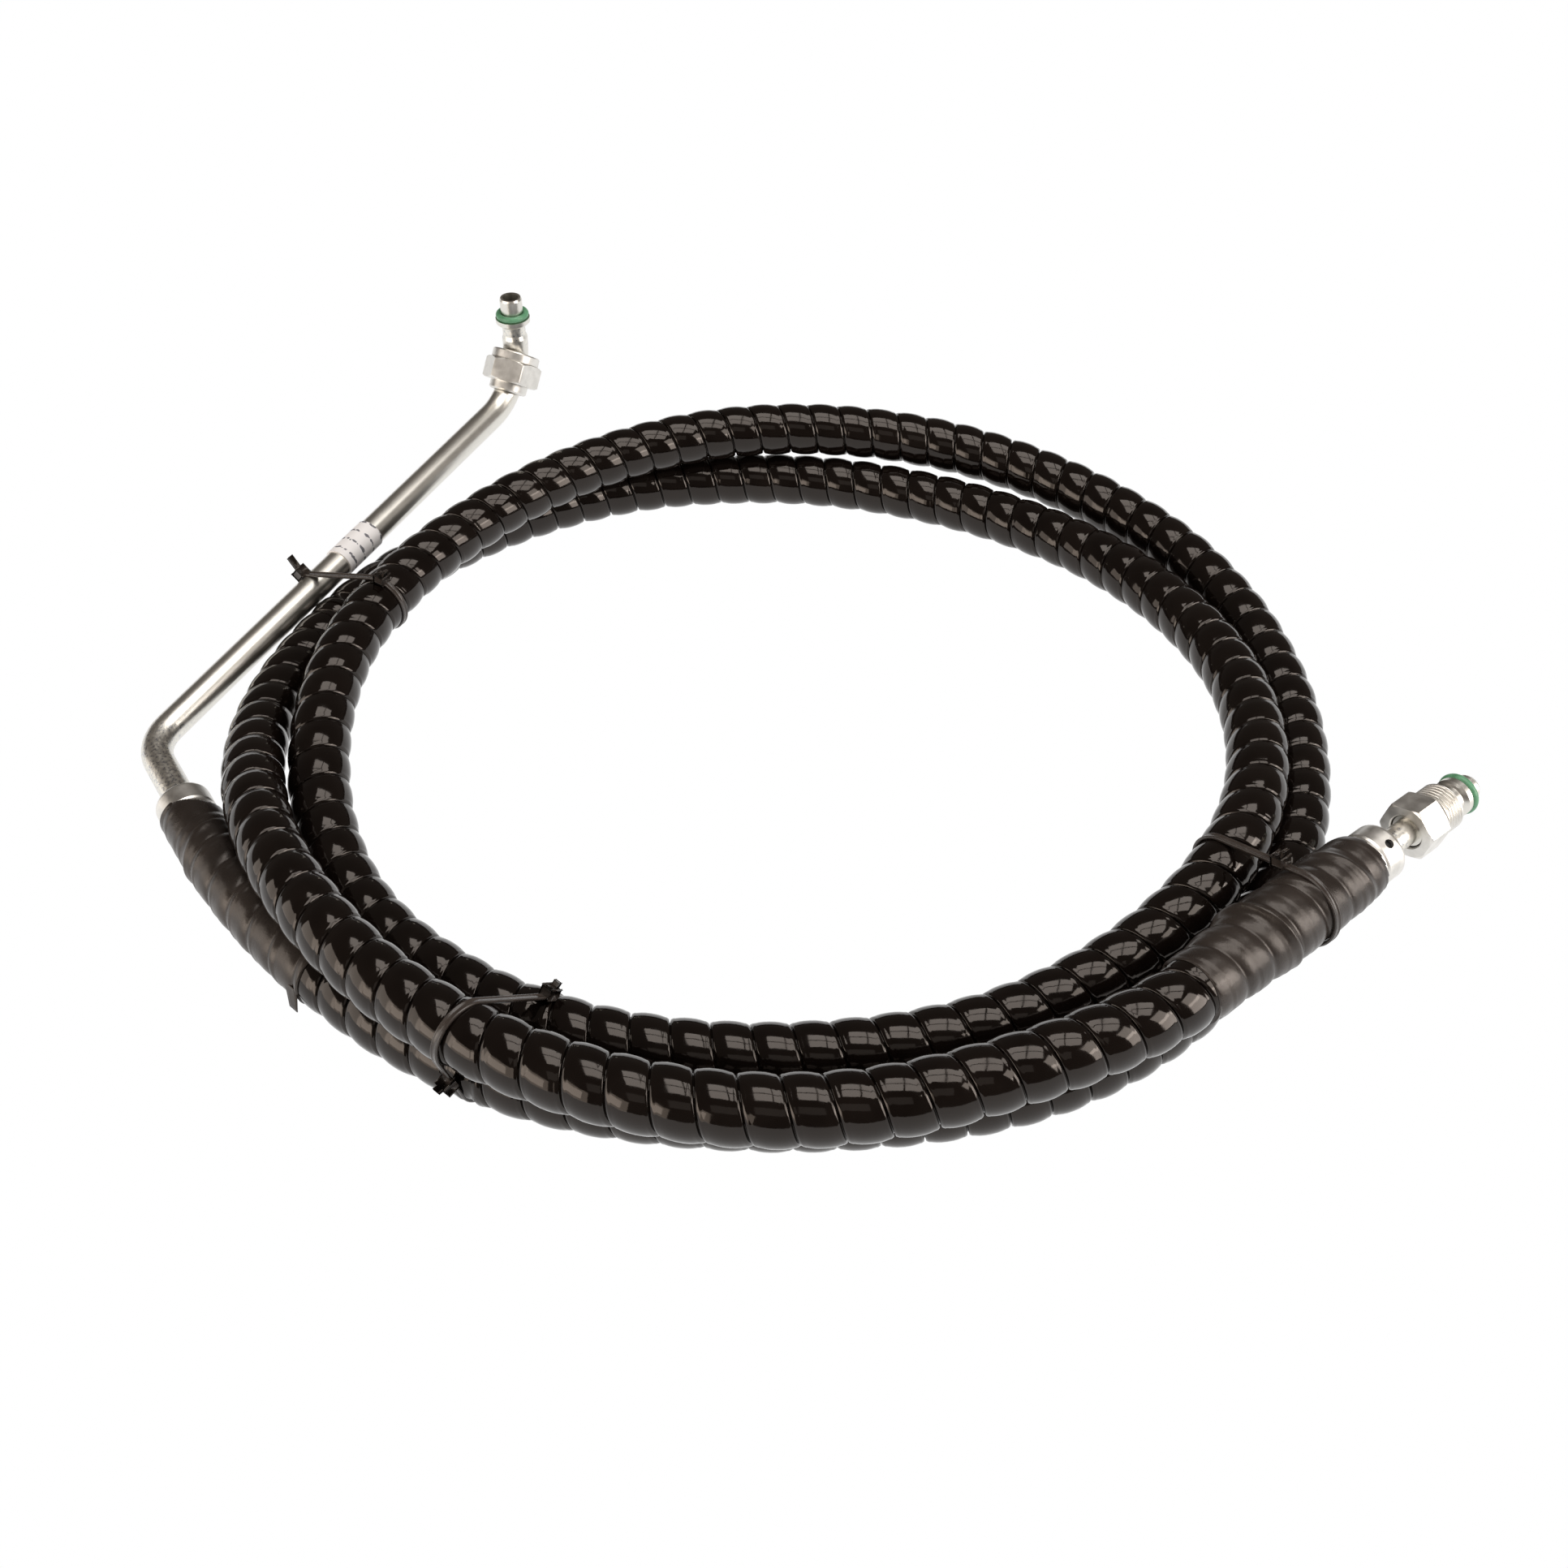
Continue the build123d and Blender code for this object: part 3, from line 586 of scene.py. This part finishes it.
def hexagon_rows(start, length, across_flats, cut, depth, turn):
    """Rows of a hexagon chamfered at both ends."""
    corner = across_flats / 2 / cos(pi / 6)
    rows = []
    for share in CHAMFER_SHARES:
        limit = corner - cut * (1 - share)
        rows.append((start + depth * share, hexagon_at(across_flats, limit, turn)))
    for share in reversed(CHAMFER_SHARES):
        limit = corner - cut * (1 - share)
        rows.append((start + length - depth * share, hexagon_at(across_flats, limit, turn)))
    return rows


def thread_rows(start, stop, pitch, crest, depth, run_out):
    """Rows of a thread that fades in and out; an inner thread's depth is negative.

    run_out has the sign of stop - start.
    """
    rows = []
    count = ceil(abs(stop - start) / pitch * THREAD_ROWS)
    for step in range(count + 1):
        place = start + (stop - start) * step / count
        amount = smooth_step(place, start, start + run_out)
        amount *= 1 - smooth_step(place, stop - run_out, stop)
        rows.append((place, thread_at(place, pitch, crest, depth, amount)))
    return rows


# nut A leans on the inside of the tube's second bend
TUBE_BEND_2 = 30.0
NUT_A_SHARE = 0.6
NUT_A_LEAN = 3.0
NUT_A_OFFSET = 1.0
NUT_A_LENGTH = 20.0
bend_turn = run_direction.angle(UP)
bend_start = from_centre(*TUBE_CORNER) - run_direction * TUBE_BEND_2 * tan(bend_turn / 2) * MM
towards_centre = (UP - run_direction * UP.dot(run_direction)).normalized()
bend_centre = bend_start + towards_centre * TUBE_BEND_2 * MM
nut_angle = bend_turn * NUT_A_SHARE
lean_angle = nut_angle - radians(NUT_A_LEAN)
nut_a_axis = run_direction * cos(lean_angle) + towards_centre * sin(lean_angle)
nut_a_inwards = towards_centre * cos(nut_angle) - run_direction * sin(nut_angle)
nut_a_centre = bend_centre - nut_a_inwards * (TUBE_BEND_2 - NUT_A_OFFSET) * MM
nut_a_rear = nut_a_centre - nut_a_axis * (NUT_A_LENGTH / 2) * MM

THREAD_PITCH = 1.5875
THREAD_DEPTH = 1.1
NUT_COLUMNS = 96

# round rows as (position, radius); hexagons as start, length, across flats, chamfer's cut and
# depth; threads as start, stop, pitch, crest, depth and run-out
NUT_A_TURN = radians(40)
NUT_A_COLLAR = [(0.0, 8.3), (0.25, 8.9), (0.9, 9.5), (4.5, 9.5)]
NUT_A_HEX = (4.6, 10.8, 25.4, 1.7, 1.0)
NUT_A_MOUTH = [
    (15.5, 11.6), (15.8, 11.9), (19.3, 11.9), (19.8, 11.6), (20.0, 11.1), (20.0, 10.0), (19.0, 9.5),
]
NUT_A_THREAD = (18.6, 3.6, THREAD_PITCH, 8.7, -0.8, -1.2)
NUT_A_LIP = [(3.0, 8.7), (3.0, 7.3), (0.0, 7.3)]
nut_a_rows = round_rows(NUT_A_COLLAR)
nut_a_rows += hexagon_rows(*NUT_A_HEX, NUT_A_TURN)
nut_a_rows += round_rows(NUT_A_MOUTH)
nut_a_rows += thread_rows(*NUT_A_THREAD)
nut_a_rows += round_rows(NUT_A_LIP)
nut_a = turned_skin("swivel_nut_a", nut_a_rear, nut_a_axis, nut_a_rows, NUT_COLUMNS)

NUT_B_REAR = 13.8
NUT_B_TURN = radians(18)
NUT_B_HEX = (0.0, 11.6, 20.6, 1.3, 0.7)
NUT_B_RELIEF = [(11.6, 8.7), (11.8, 8.5), (12.6, 8.5), (12.9, 8.9)]
NUT_B_THREAD = (13.2, 22.0, THREAD_PITCH, 9.525, THREAD_DEPTH, 0.7)
NUT_B_BORE = [(22.5, 8.9), (22.8, 8.6), (22.8, 7.1), (22.4, 6.75), (0.5, 6.75), (0.0, 7.2)]
nut_b_rows = hexagon_rows(*NUT_B_HEX, NUT_B_TURN)
nut_b_rows += round_rows(NUT_B_RELIEF)
nut_b_rows += thread_rows(*NUT_B_THREAD)
nut_b_rows += round_rows(NUT_B_BORE)
nut_b_rear = face_b + axis_b * NUT_B_REAR * MM
nut_b = turned_skin("swivel_nut_b", nut_b_rear, axis_b, nut_b_rows, NUT_COLUMNS)

# ---------------------------------------------------------------- cable ties

STRAP_SECTION = [
    (-1.5, 0.0), (-1.5, 0.95), (-1.28, 1.2), (-0.95, 1.2), (-0.8, 1.02),
    (0.8, 1.02), (0.95, 1.2), (1.28, 1.2), (1.5, 0.95), (1.5, 0.0),
]
HEAD_LIFT = 0.3
HEAD_ROUND = 0.5
TAIL_LIFT = 0.6
TAIL_BACK = 1.2
TAIL_LEAN = 0.25
TAIL_WIDTH = 2.7
TAIL_ROUND = 0.2
HEAD_LIP_LIFT = 0.35
HEAD_LIP_AHEAD = 1.1
HEAD_LIP_SIZE = (2.88, 1.4, 0.6)
HEAD_LIP_ROUND = 0.15


def strap_points(loop, start, stop):
    """The loop's points from one number to another, going round."""
    stop = stop if stop > start else stop + len(loop)
    return [loop[number % len(loop)] for number in range(start, stop + 1)]


def nearest_point(loop, middle, direction):
    """The number of the loop point that the middle sees in a direction in degrees."""
    aim = Vector((cos(radians(direction)), sin(radians(direction))))
    return max(range(len(loop)), key=lambda number: (loop[number] - middle).normalized().dot(aim))


def add_box(body, centre, sides, lengths, rounding):
    """A rounded box with given side directions, and its lengths and rounding in millimetres."""
    made = bmesh.ops.create_cube(body, size=1)["verts"]
    for vert in made:
        place = centre.copy()
        for side, length, part in zip(sides, lengths, vert.co):
            place += side * length * part * MM
        vert.co = place
    edges = list({edge for vert in made for edge in vert.link_edges})
    bmesh.ops.bevel(
        body, geom=edges, offset=rounding * MM, segments=3, affect="EDGES", profile=0.5
    )


def tie_piece(place, number, loop, seats):
    """One tie: half of the loop's strap, its head, and the cut tail of its partner."""
    body = bmesh.new()
    points = strap_points(loop, seats[number], seats[1 - number])
    rings = []
    for at, point in enumerate(points):
        ahead = points[min(at + 1, len(points) - 1)] - points[max(at - 1, 0)]
        outwards = Vector((ahead.y, -ahead.x)).normalized()
        ring = []
        for along, proud in STRAP_SECTION:
            ring.append(body.verts.new(place.at(point + outwards * proud, along)))
        rings.append(ring)
    for near, far in zip(rings, rings[1:]):
        for at in range(len(STRAP_SECTION)):
            beside = (at + 1) % len(STRAP_SECTION)
            body.faces.new([near[at], far[at], far[beside], near[beside]])
    body.faces.new(rings[0])
    body.faces.new(rings[-1][::-1])

    seat = points[0]
    ahead = (points[1] - points[0]).normalized()
    outwards = Vector((ahead.y, -ahead.x))
    along_side = place.across * ahead.x + UP * ahead.y
    out_side = place.across * outwards.x + UP * outwards.y
    sides = (place.normal, along_side, out_side)
    centre = place.at(seat + outwards * (TIE_HEAD[2] / 2 + HEAD_LIFT))
    add_box(body, centre, sides, TIE_HEAD, HEAD_ROUND)
    tail_length = TIE_HEAD[2] + TIE_TAILS[place.name][number]
    tail_sides = (place.normal, along_side, (out_side - along_side * TAIL_LEAN).normalized())
    tail_centre = place.at(seat + outwards * (tail_length / 2 + TAIL_LIFT) - ahead * TAIL_BACK)
    tail_lengths = (TAIL_WIDTH, TIE_THICKNESS, tail_length)
    add_box(body, tail_centre, tail_sides, tail_lengths, TAIL_ROUND)
    lip_centre = place.at(seat + outwards * (TIE_HEAD[2] + HEAD_LIP_LIFT) + ahead * HEAD_LIP_AHEAD)
    add_box(body, lip_centre, sides, HEAD_LIP_SIZE, HEAD_LIP_ROUND)
    bmesh.ops.recalc_face_normals(body, faces=body.faces)
    return mesh_piece(f"cable_tie_{place.name}_{number + 1}", body)


cable_ties = []
for place in tie_places:
    loop = place.loop()
    middle = sum((Vector(circle[:2]) for circle in place.circles), Vector((0, 0)))
    middle /= len(place.circles)
    seats = [nearest_point(loop, middle, direction) for direction in place.head_directions]
    for number in range(2):
        cable_ties.append((tie_piece(place, number, loop, seats), place.name, number))

# ---------------------------------------------------------------- materials

nose_a = from_centre(TUBE_CORNER[0], TUBE_CORNER[1], 0)
# where the plate is mottled: a spot, and how far round it the mottling is full and is gone
MOTTLED = (
    (face_a, 34, 60), (nose_a + UP * 68 * MM, 5, 11), (face_b + axis_b * 4 * MM, 6, 10),
)


def base_material(name, **values):
    """A material with its shader, and the shader's plain values set on its own sockets."""
    material = bpy.data.materials.new(name)
    material.use_nodes = True
    shader = material.node_tree.nodes["Principled BSDF"]
    for socket, value in values.items():
        shader.inputs[socket.replace("_", " ")].default_value = value
    return material, material.node_tree, shader


def noise_node(tree, scale, detail=4.0):
    """A noise in the object's own metres."""
    where = tree.nodes.new("ShaderNodeTexCoord")
    grain = tree.nodes.new("ShaderNodeTexNoise")
    grain.inputs["Scale"].default_value = scale
    grain.inputs["Detail"].default_value = detail
    tree.links.new(where.outputs["Object"], grain.inputs["Vector"])
    return grain.outputs["Fac"]


def vary_colour(tree, shader, source, stops):
    """Colour from a source through a ramp of (position, colour) stops."""
    ramp = tree.nodes.new("ShaderNodeValToRGB")
    ramp.color_ramp.elements[0].position = stops[0][0]
    ramp.color_ramp.elements[0].color = (*stops[0][1], 1)
    ramp.color_ramp.elements[1].position = stops[-1][0]
    ramp.color_ramp.elements[1].color = (*stops[-1][1], 1)
    for position, colour in stops[1:-1]:
        ramp.color_ramp.elements.new(position).color = (*colour, 1)
    tree.links.new(source, ramp.inputs["Fac"])
    tree.links.new(ramp.outputs["Color"], shader.inputs["Base Color"])


def vary_roughness(tree, shader, source, low, high):
    """Roughness between two values, from a source."""
    spread = tree.nodes.new("ShaderNodeMapRange")
    spread.inputs["From Min"].default_value = 0.3
    spread.inputs["From Max"].default_value = 0.7
    spread.inputs["To Min"].default_value = low
    spread.inputs["To Max"].default_value = high
    tree.links.new(source, spread.inputs["Value"])
    tree.links.new(spread.outputs["Result"], shader.inputs["Roughness"])


def add_bump(tree, shader, source, depth):
    """Fine relief of a depth in metres."""
    bump = tree.nodes.new("ShaderNodeBump")
    bump.inputs["Distance"].default_value = depth
    bump.inputs["Strength"].default_value = 1.0
    tree.links.new(source, bump.inputs["Height"])
    tree.links.new(bump.outputs["Normal"], shader.inputs["Normal"])


def guard_plastic():
    """Glossy black polyethylene, faintly scuffed."""
    material, tree, shader = base_material(
        "guard_plastic", IOR=1.46, Specular_Tint=(1, 0.90, 0.83, 1)
    )
    vary_colour(tree, shader, noise_node(tree, 60), [
        (0.3, (0.003, 0.0018, 0.0014)), (0.7, (0.006, 0.004, 0.0032)),
    ])
    vary_roughness(tree, shader, noise_node(tree, 220, detail=6), 0.05, 0.13)
    add_bump(tree, shader, noise_node(tree, 160, detail=3), 0.00006)
    return material


def hose_rubber():
    """Matt black rubber with a fine grain."""
    material, tree, shader = base_material("hose_rubber")
    vary_colour(tree, shader, noise_node(tree, 90), [
        (0.3, (0.010, 0.009, 0.009)), (0.7, (0.022, 0.020, 0.019)),
    ])
    vary_roughness(tree, shader, noise_node(tree, 300), 0.55, 0.75)
    add_bump(tree, shader, noise_node(tree, 2500), 0.00005)
    return material


def tape_vinyl():
    """Satin black vinyl tape, stretched and handled."""
    material, tree, shader = base_material(
        "tape_vinyl", IOR=1.5, Specular_Tint=(1, 0.92, 0.86, 1)
    )
    vary_colour(tree, shader, noise_node(tree, 55, detail=5), [
        (0.3, (0.017, 0.013, 0.011)), (0.7, (0.033, 0.026, 0.022)),
    ])
    vary_roughness(tree, shader, noise_node(tree, 140, detail=5), 0.24, 0.38)
    add_bump(tree, shader, noise_node(tree, 420, detail=5), 0.00010)
    return material


def zinc_steel():
    """Bright zinc plate, smooth on the tube's run and mottled near both faces and nose A."""
    material, tree, shader = base_material("zinc_steel", Metallic=1.0)
    where = tree.nodes.new("ShaderNodeTexCoord")
    patches = []
    for spot, near, far in MOTTLED:
        away = tree.nodes.new("ShaderNodeVectorMath")
        away.operation = "DISTANCE"
        away.inputs[1].default_value = spot
        tree.links.new(where.outputs["Object"], away.inputs[0])
        patch = tree.nodes.new("ShaderNodeMapRange")
        patch.inputs["From Min"].default_value = near * MM
        patch.inputs["From Max"].default_value = far * MM
        patch.inputs["To Min"].default_value = 1.0
        patch.inputs["To Max"].default_value = 0.0
        tree.links.new(away.outputs["Value"], patch.inputs["Value"])
        patches.append(patch.outputs["Result"])
    total = patches[0]
    for patch in patches[1:]:
        joined = tree.nodes.new("ShaderNodeMath")
        joined.operation = "MAXIMUM"
        tree.links.new(total, joined.inputs[0])
        tree.links.new(patch, joined.inputs[1])
        total = joined.outputs["Value"]
    speckle = noise_node(tree, 800, detail=5)
    soft = tree.nodes.new("ShaderNodeMapRange")
    soft.inputs["To Min"].default_value = 0.42
    soft.inputs["To Max"].default_value = 0.58
    tree.links.new(noise_node(tree, 120, detail=3), soft.inputs["Value"])
    mixed = tree.nodes.new("ShaderNodeMix")
    tree.links.new(total, mixed.inputs["Factor"])
    tree.links.new(soft.outputs["Result"], mixed.inputs["A"])
    tree.links.new(speckle, mixed.inputs["B"])
    source = mixed.outputs["Result"]
    vary_colour(tree, shader, source, [
        (0.36, (0.56, 0.57, 0.58)), (0.46, (0.74, 0.72, 0.67)), (0.62, (0.86, 0.83, 0.76)),
    ])
    vary_roughness(tree, shader, source, 0.24, 0.40)
    add_bump(tree, shader, source, 0.00006)
    return material


def nut_steel():
    """Satin zinc plate of the nuts and ferrules, faintly marked by handling."""
    material, tree, shader = base_material("nut_steel", Metallic=1.0)
    handled = noise_node(tree, 260, detail=4)
    vary_colour(tree, shader, handled, [
        (0.34, (0.70, 0.68, 0.64)), (0.5, (0.77, 0.75, 0.71)), (0.66, (0.82, 0.80, 0.76)),
    ])
    vary_roughness(tree, shader, handled, 0.34, 0.42)
    return material


def seal_rubber():
    """Green fluoro-rubber of the sealing rings."""
    material, tree, shader = base_material("seal_rubber")
    vary_colour(tree, shader, noise_node(tree, 300), [
        (0.3, (0.08, 0.23, 0.12)), (0.7, (0.14, 0.35, 0.20)),
    ])
    vary_roughness(tree, shader, noise_node(tree, 500), 0.28, 0.45)
    add_bump(tree, shader, noise_node(tree, 1500), 0.00004)
    return material


def tie_nylon():
    """Black nylon of the cable ties."""
    material, tree, shader = base_material("tie_nylon")
    vary_colour(tree, shader, noise_node(tree, 200), [
        (0.3, (0.034, 0.026, 0.022)), (0.7, (0.052, 0.042, 0.036)),
    ])
    vary_roughness(tree, shader, noise_node(tree, 400), 0.18, 0.30)
    add_bump(tree, shader, noise_node(tree, 1200), 0.00005)
    return material


def braid_cord():
    """Pale textile braid inside the hose wall."""
    material, tree, shader = base_material("braid_cord", Roughness=0.8)
    vary_colour(tree, shader, noise_node(tree, 900), [
        (0.3, (0.30, 0.28, 0.24)), (0.7, (0.55, 0.52, 0.46)),
    ])
    add_bump(tree, shader, noise_node(tree, 1400), 0.0002)
    return material


LABEL_BARS = 950


def label_paper():
    """White printed sleeve with plain bars and no lettering."""
    material, tree, shader = base_material("label_paper", Roughness=0.5)
    where = tree.nodes.new("ShaderNodeTexCoord")
    along = tree.nodes.new("ShaderNodeVectorMath")
    along.operation = "DOT_PRODUCT"
    along.inputs[1].default_value = run_direction * LABEL_BARS
    tree.links.new(where.outputs["Object"], along.inputs[0])
    bars = tree.nodes.new("ShaderNodeMath")
    bars.operation = "SINE"
    tree.links.new(along.outputs["Value"], bars.inputs[0])
    broken = tree.nodes.new("ShaderNodeMath")
    broken.operation = "MULTIPLY"
    tree.links.new(bars.outputs["Value"], broken.inputs[0])
    tree.links.new(noise_node(tree, 420, detail=1), broken.inputs[1])
    vary_colour(tree, shader, broken.outputs["Value"], [
        (0.44, (0.88, 0.86, 0.86)), (0.50, (0.16, 0.16, 0.18)),
    ])
    add_bump(tree, shader, noise_node(tree, 500), 0.00003)
    return material


plastic = guard_plastic()
rubber = hose_rubber()
vinyl = tape_vinyl()
zinc = zinc_steel()
satin = nut_steel()
green = seal_rubber()
nylon = tie_nylon()
braid = braid_cord()
paper = label_paper()

LOOKS = {
    "guard_plastic": plastic, "hose_rubber": rubber, "tape": vinyl, "zinc_steel": zinc,
    "nut_steel": satin, "seal_rubber": green, "tie_nylon": nylon, "braid": braid,
    "label": paper,
}
NODE_LOOKS = {
    "hose_liner": "hose_rubber", "hose_braid": "braid", "hose_cover": "hose_rubber",
    "spiral_guard": "guard_plastic", "tape_a": "tape", "tape_b": "tape",
    "ferrule_a": "nut_steel", "ferrule_b": "nut_steel", "insert_a": "zinc_steel",
    "insert_b": "zinc_steel", "tube_a": "zinc_steel", "stem_b": "zinc_steel",
    "nut_a": "nut_steel", "nut_b": "nut_steel", "o_ring_a": "seal_rubber",
    "o_ring_b": "seal_rubber", "label_sleeve": "label",
}
for name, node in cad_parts.items():
    look = NODE_LOOKS.get(name, "tie_nylon")
    if not node.material_slots:
        node.data.materials.append(None)
    for slot in node.material_slots:
        slot.material = LOOKS[look]

# ---------------------------------------------------------------- what rides on what


def dress(piece, look, body, *nodes):
    """Material, body and replaced nodes of a new piece."""
    piece.data.materials.append(LOOKS[look])
    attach(piece, body)
    if nodes:
        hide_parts(*nodes)


dress(hose, "hose_rubber", "root", "hose_liner", "hose_braid", "hose_cover")
dress(guard, "guard_plastic", "root", "spiral_guard")
dress(tape_a, "tape", "root", "tape_a")
dress(tape_b, "tape", "root", "tape_b")
dress(nut_a, "nut_steel", "nut_a", "nut_a")
dress(nut_b, "nut_steel", "nut_b", "nut_b")
for piece, place_name, number in cable_ties:
    dress(piece, "tie_nylon", "root", f"tie_{place_name}_{number + 1}")

# ---------------------------------------------------------------- stage

FLOOR_HALF = 40.0
floor_mesh = bpy.data.meshes.new("floor")
floor_mesh.from_pydata(
    [(-FLOOR_HALF, -FLOOR_HALF, 0), (FLOOR_HALF, -FLOOR_HALF, 0),
     (FLOOR_HALF, FLOOR_HALF, 0), (-FLOOR_HALF, FLOOR_HALF, 0)],
    [], [(0, 1, 2, 3)],
)
floor_piece = bpy.data.objects.new("floor", floor_mesh)
scene.collection.objects.link(floor_piece)
floor_white, *_ = base_material(
    "floor_white", Base_Color=(0.0, 0.0, 0.0, 1), Roughness=1.0, Specular_IOR_Level=0.0,
    Emission_Color=(1, 1, 1, 1), Emission_Strength=1.0,
)
floor_mesh.materials.append(floor_white)


def soft_box(name, place, towards, width, height, power, colour):
    """An area light at a place, looking towards a point."""
    data = bpy.data.lights.new(name, "AREA")
    data.shape = "RECTANGLE"
    data.size = width
    data.size_y = height
    data.energy = power
    data.color = colour
    light = bpy.data.objects.new(name, data)
    light.location = place
    light.rotation_euler = (Vector(towards) - Vector(place)).to_track_quat("-Z", "Y").to_euler()
    scene.collection.objects.link(light)


BANK_HEIGHT = 1.4
BANK_PANE = (0.66, 0.52)
BANK_STEP = (0.72, 0.58)
BANK_MIDDLE = (0.30, 0.12)
BANK_POWER = 3.7
BANK_COLOUR = (1, 0.97, 0.94)
for column in (-0.5, 0.5):
    for row in (-0.5, 0.5):
        spot = (BANK_MIDDLE[0] + column * BANK_STEP[0], BANK_MIDDLE[1] + row * BANK_STEP[1])
        soft_box(
            f"bank_{column}_{row}", (*spot, BANK_HEIGHT), (*spot, 0), *BANK_PANE,
            BANK_POWER, BANK_COLOUR,
        )
COIL_MIDDLE = (0, 0, 0.05)
soft_box("left_side", (-1.45, -0.30, 0.40), COIL_MIDDLE, 1.00, 0.78, 4.9, (1, 0.92, 0.84))
soft_box("left_wide", (-1.10, -1.10, 0.42), COIL_MIDDLE, 1.30, 0.82, 6.0, (1, 0.90, 0.80))
soft_box("left_inner", (-1.03, -1.03, 0.40), COIL_MIDDLE, 0.75, 0.50, 3.0, (1, 0.92, 0.84))
soft_box("over_camera", (0.05, -1.25, 1.25), (0, 0.1, 0.05), 1.30, 0.60, 0.8, (1, 0.95, 0.90))
soft_box("right_side", (1.15, -0.40, 0.85), COIL_MIDDLE, 0.66, 0.62, 5.0, (1, 0.95, 0.90))
soft_box("right_low", (1.35, -0.42, 0.42), COIL_MIDDLE, 0.80, 0.66, 9.0, (1, 0.94, 0.89))

world = bpy.data.worlds.new("studio")
world.use_nodes = True
world.node_tree.nodes["Background"].inputs["Color"].default_value = (0.10, 0.088, 0.078, 1)
world.node_tree.nodes["Background"].inputs["Strength"].default_value = 1.0
scene.world = world
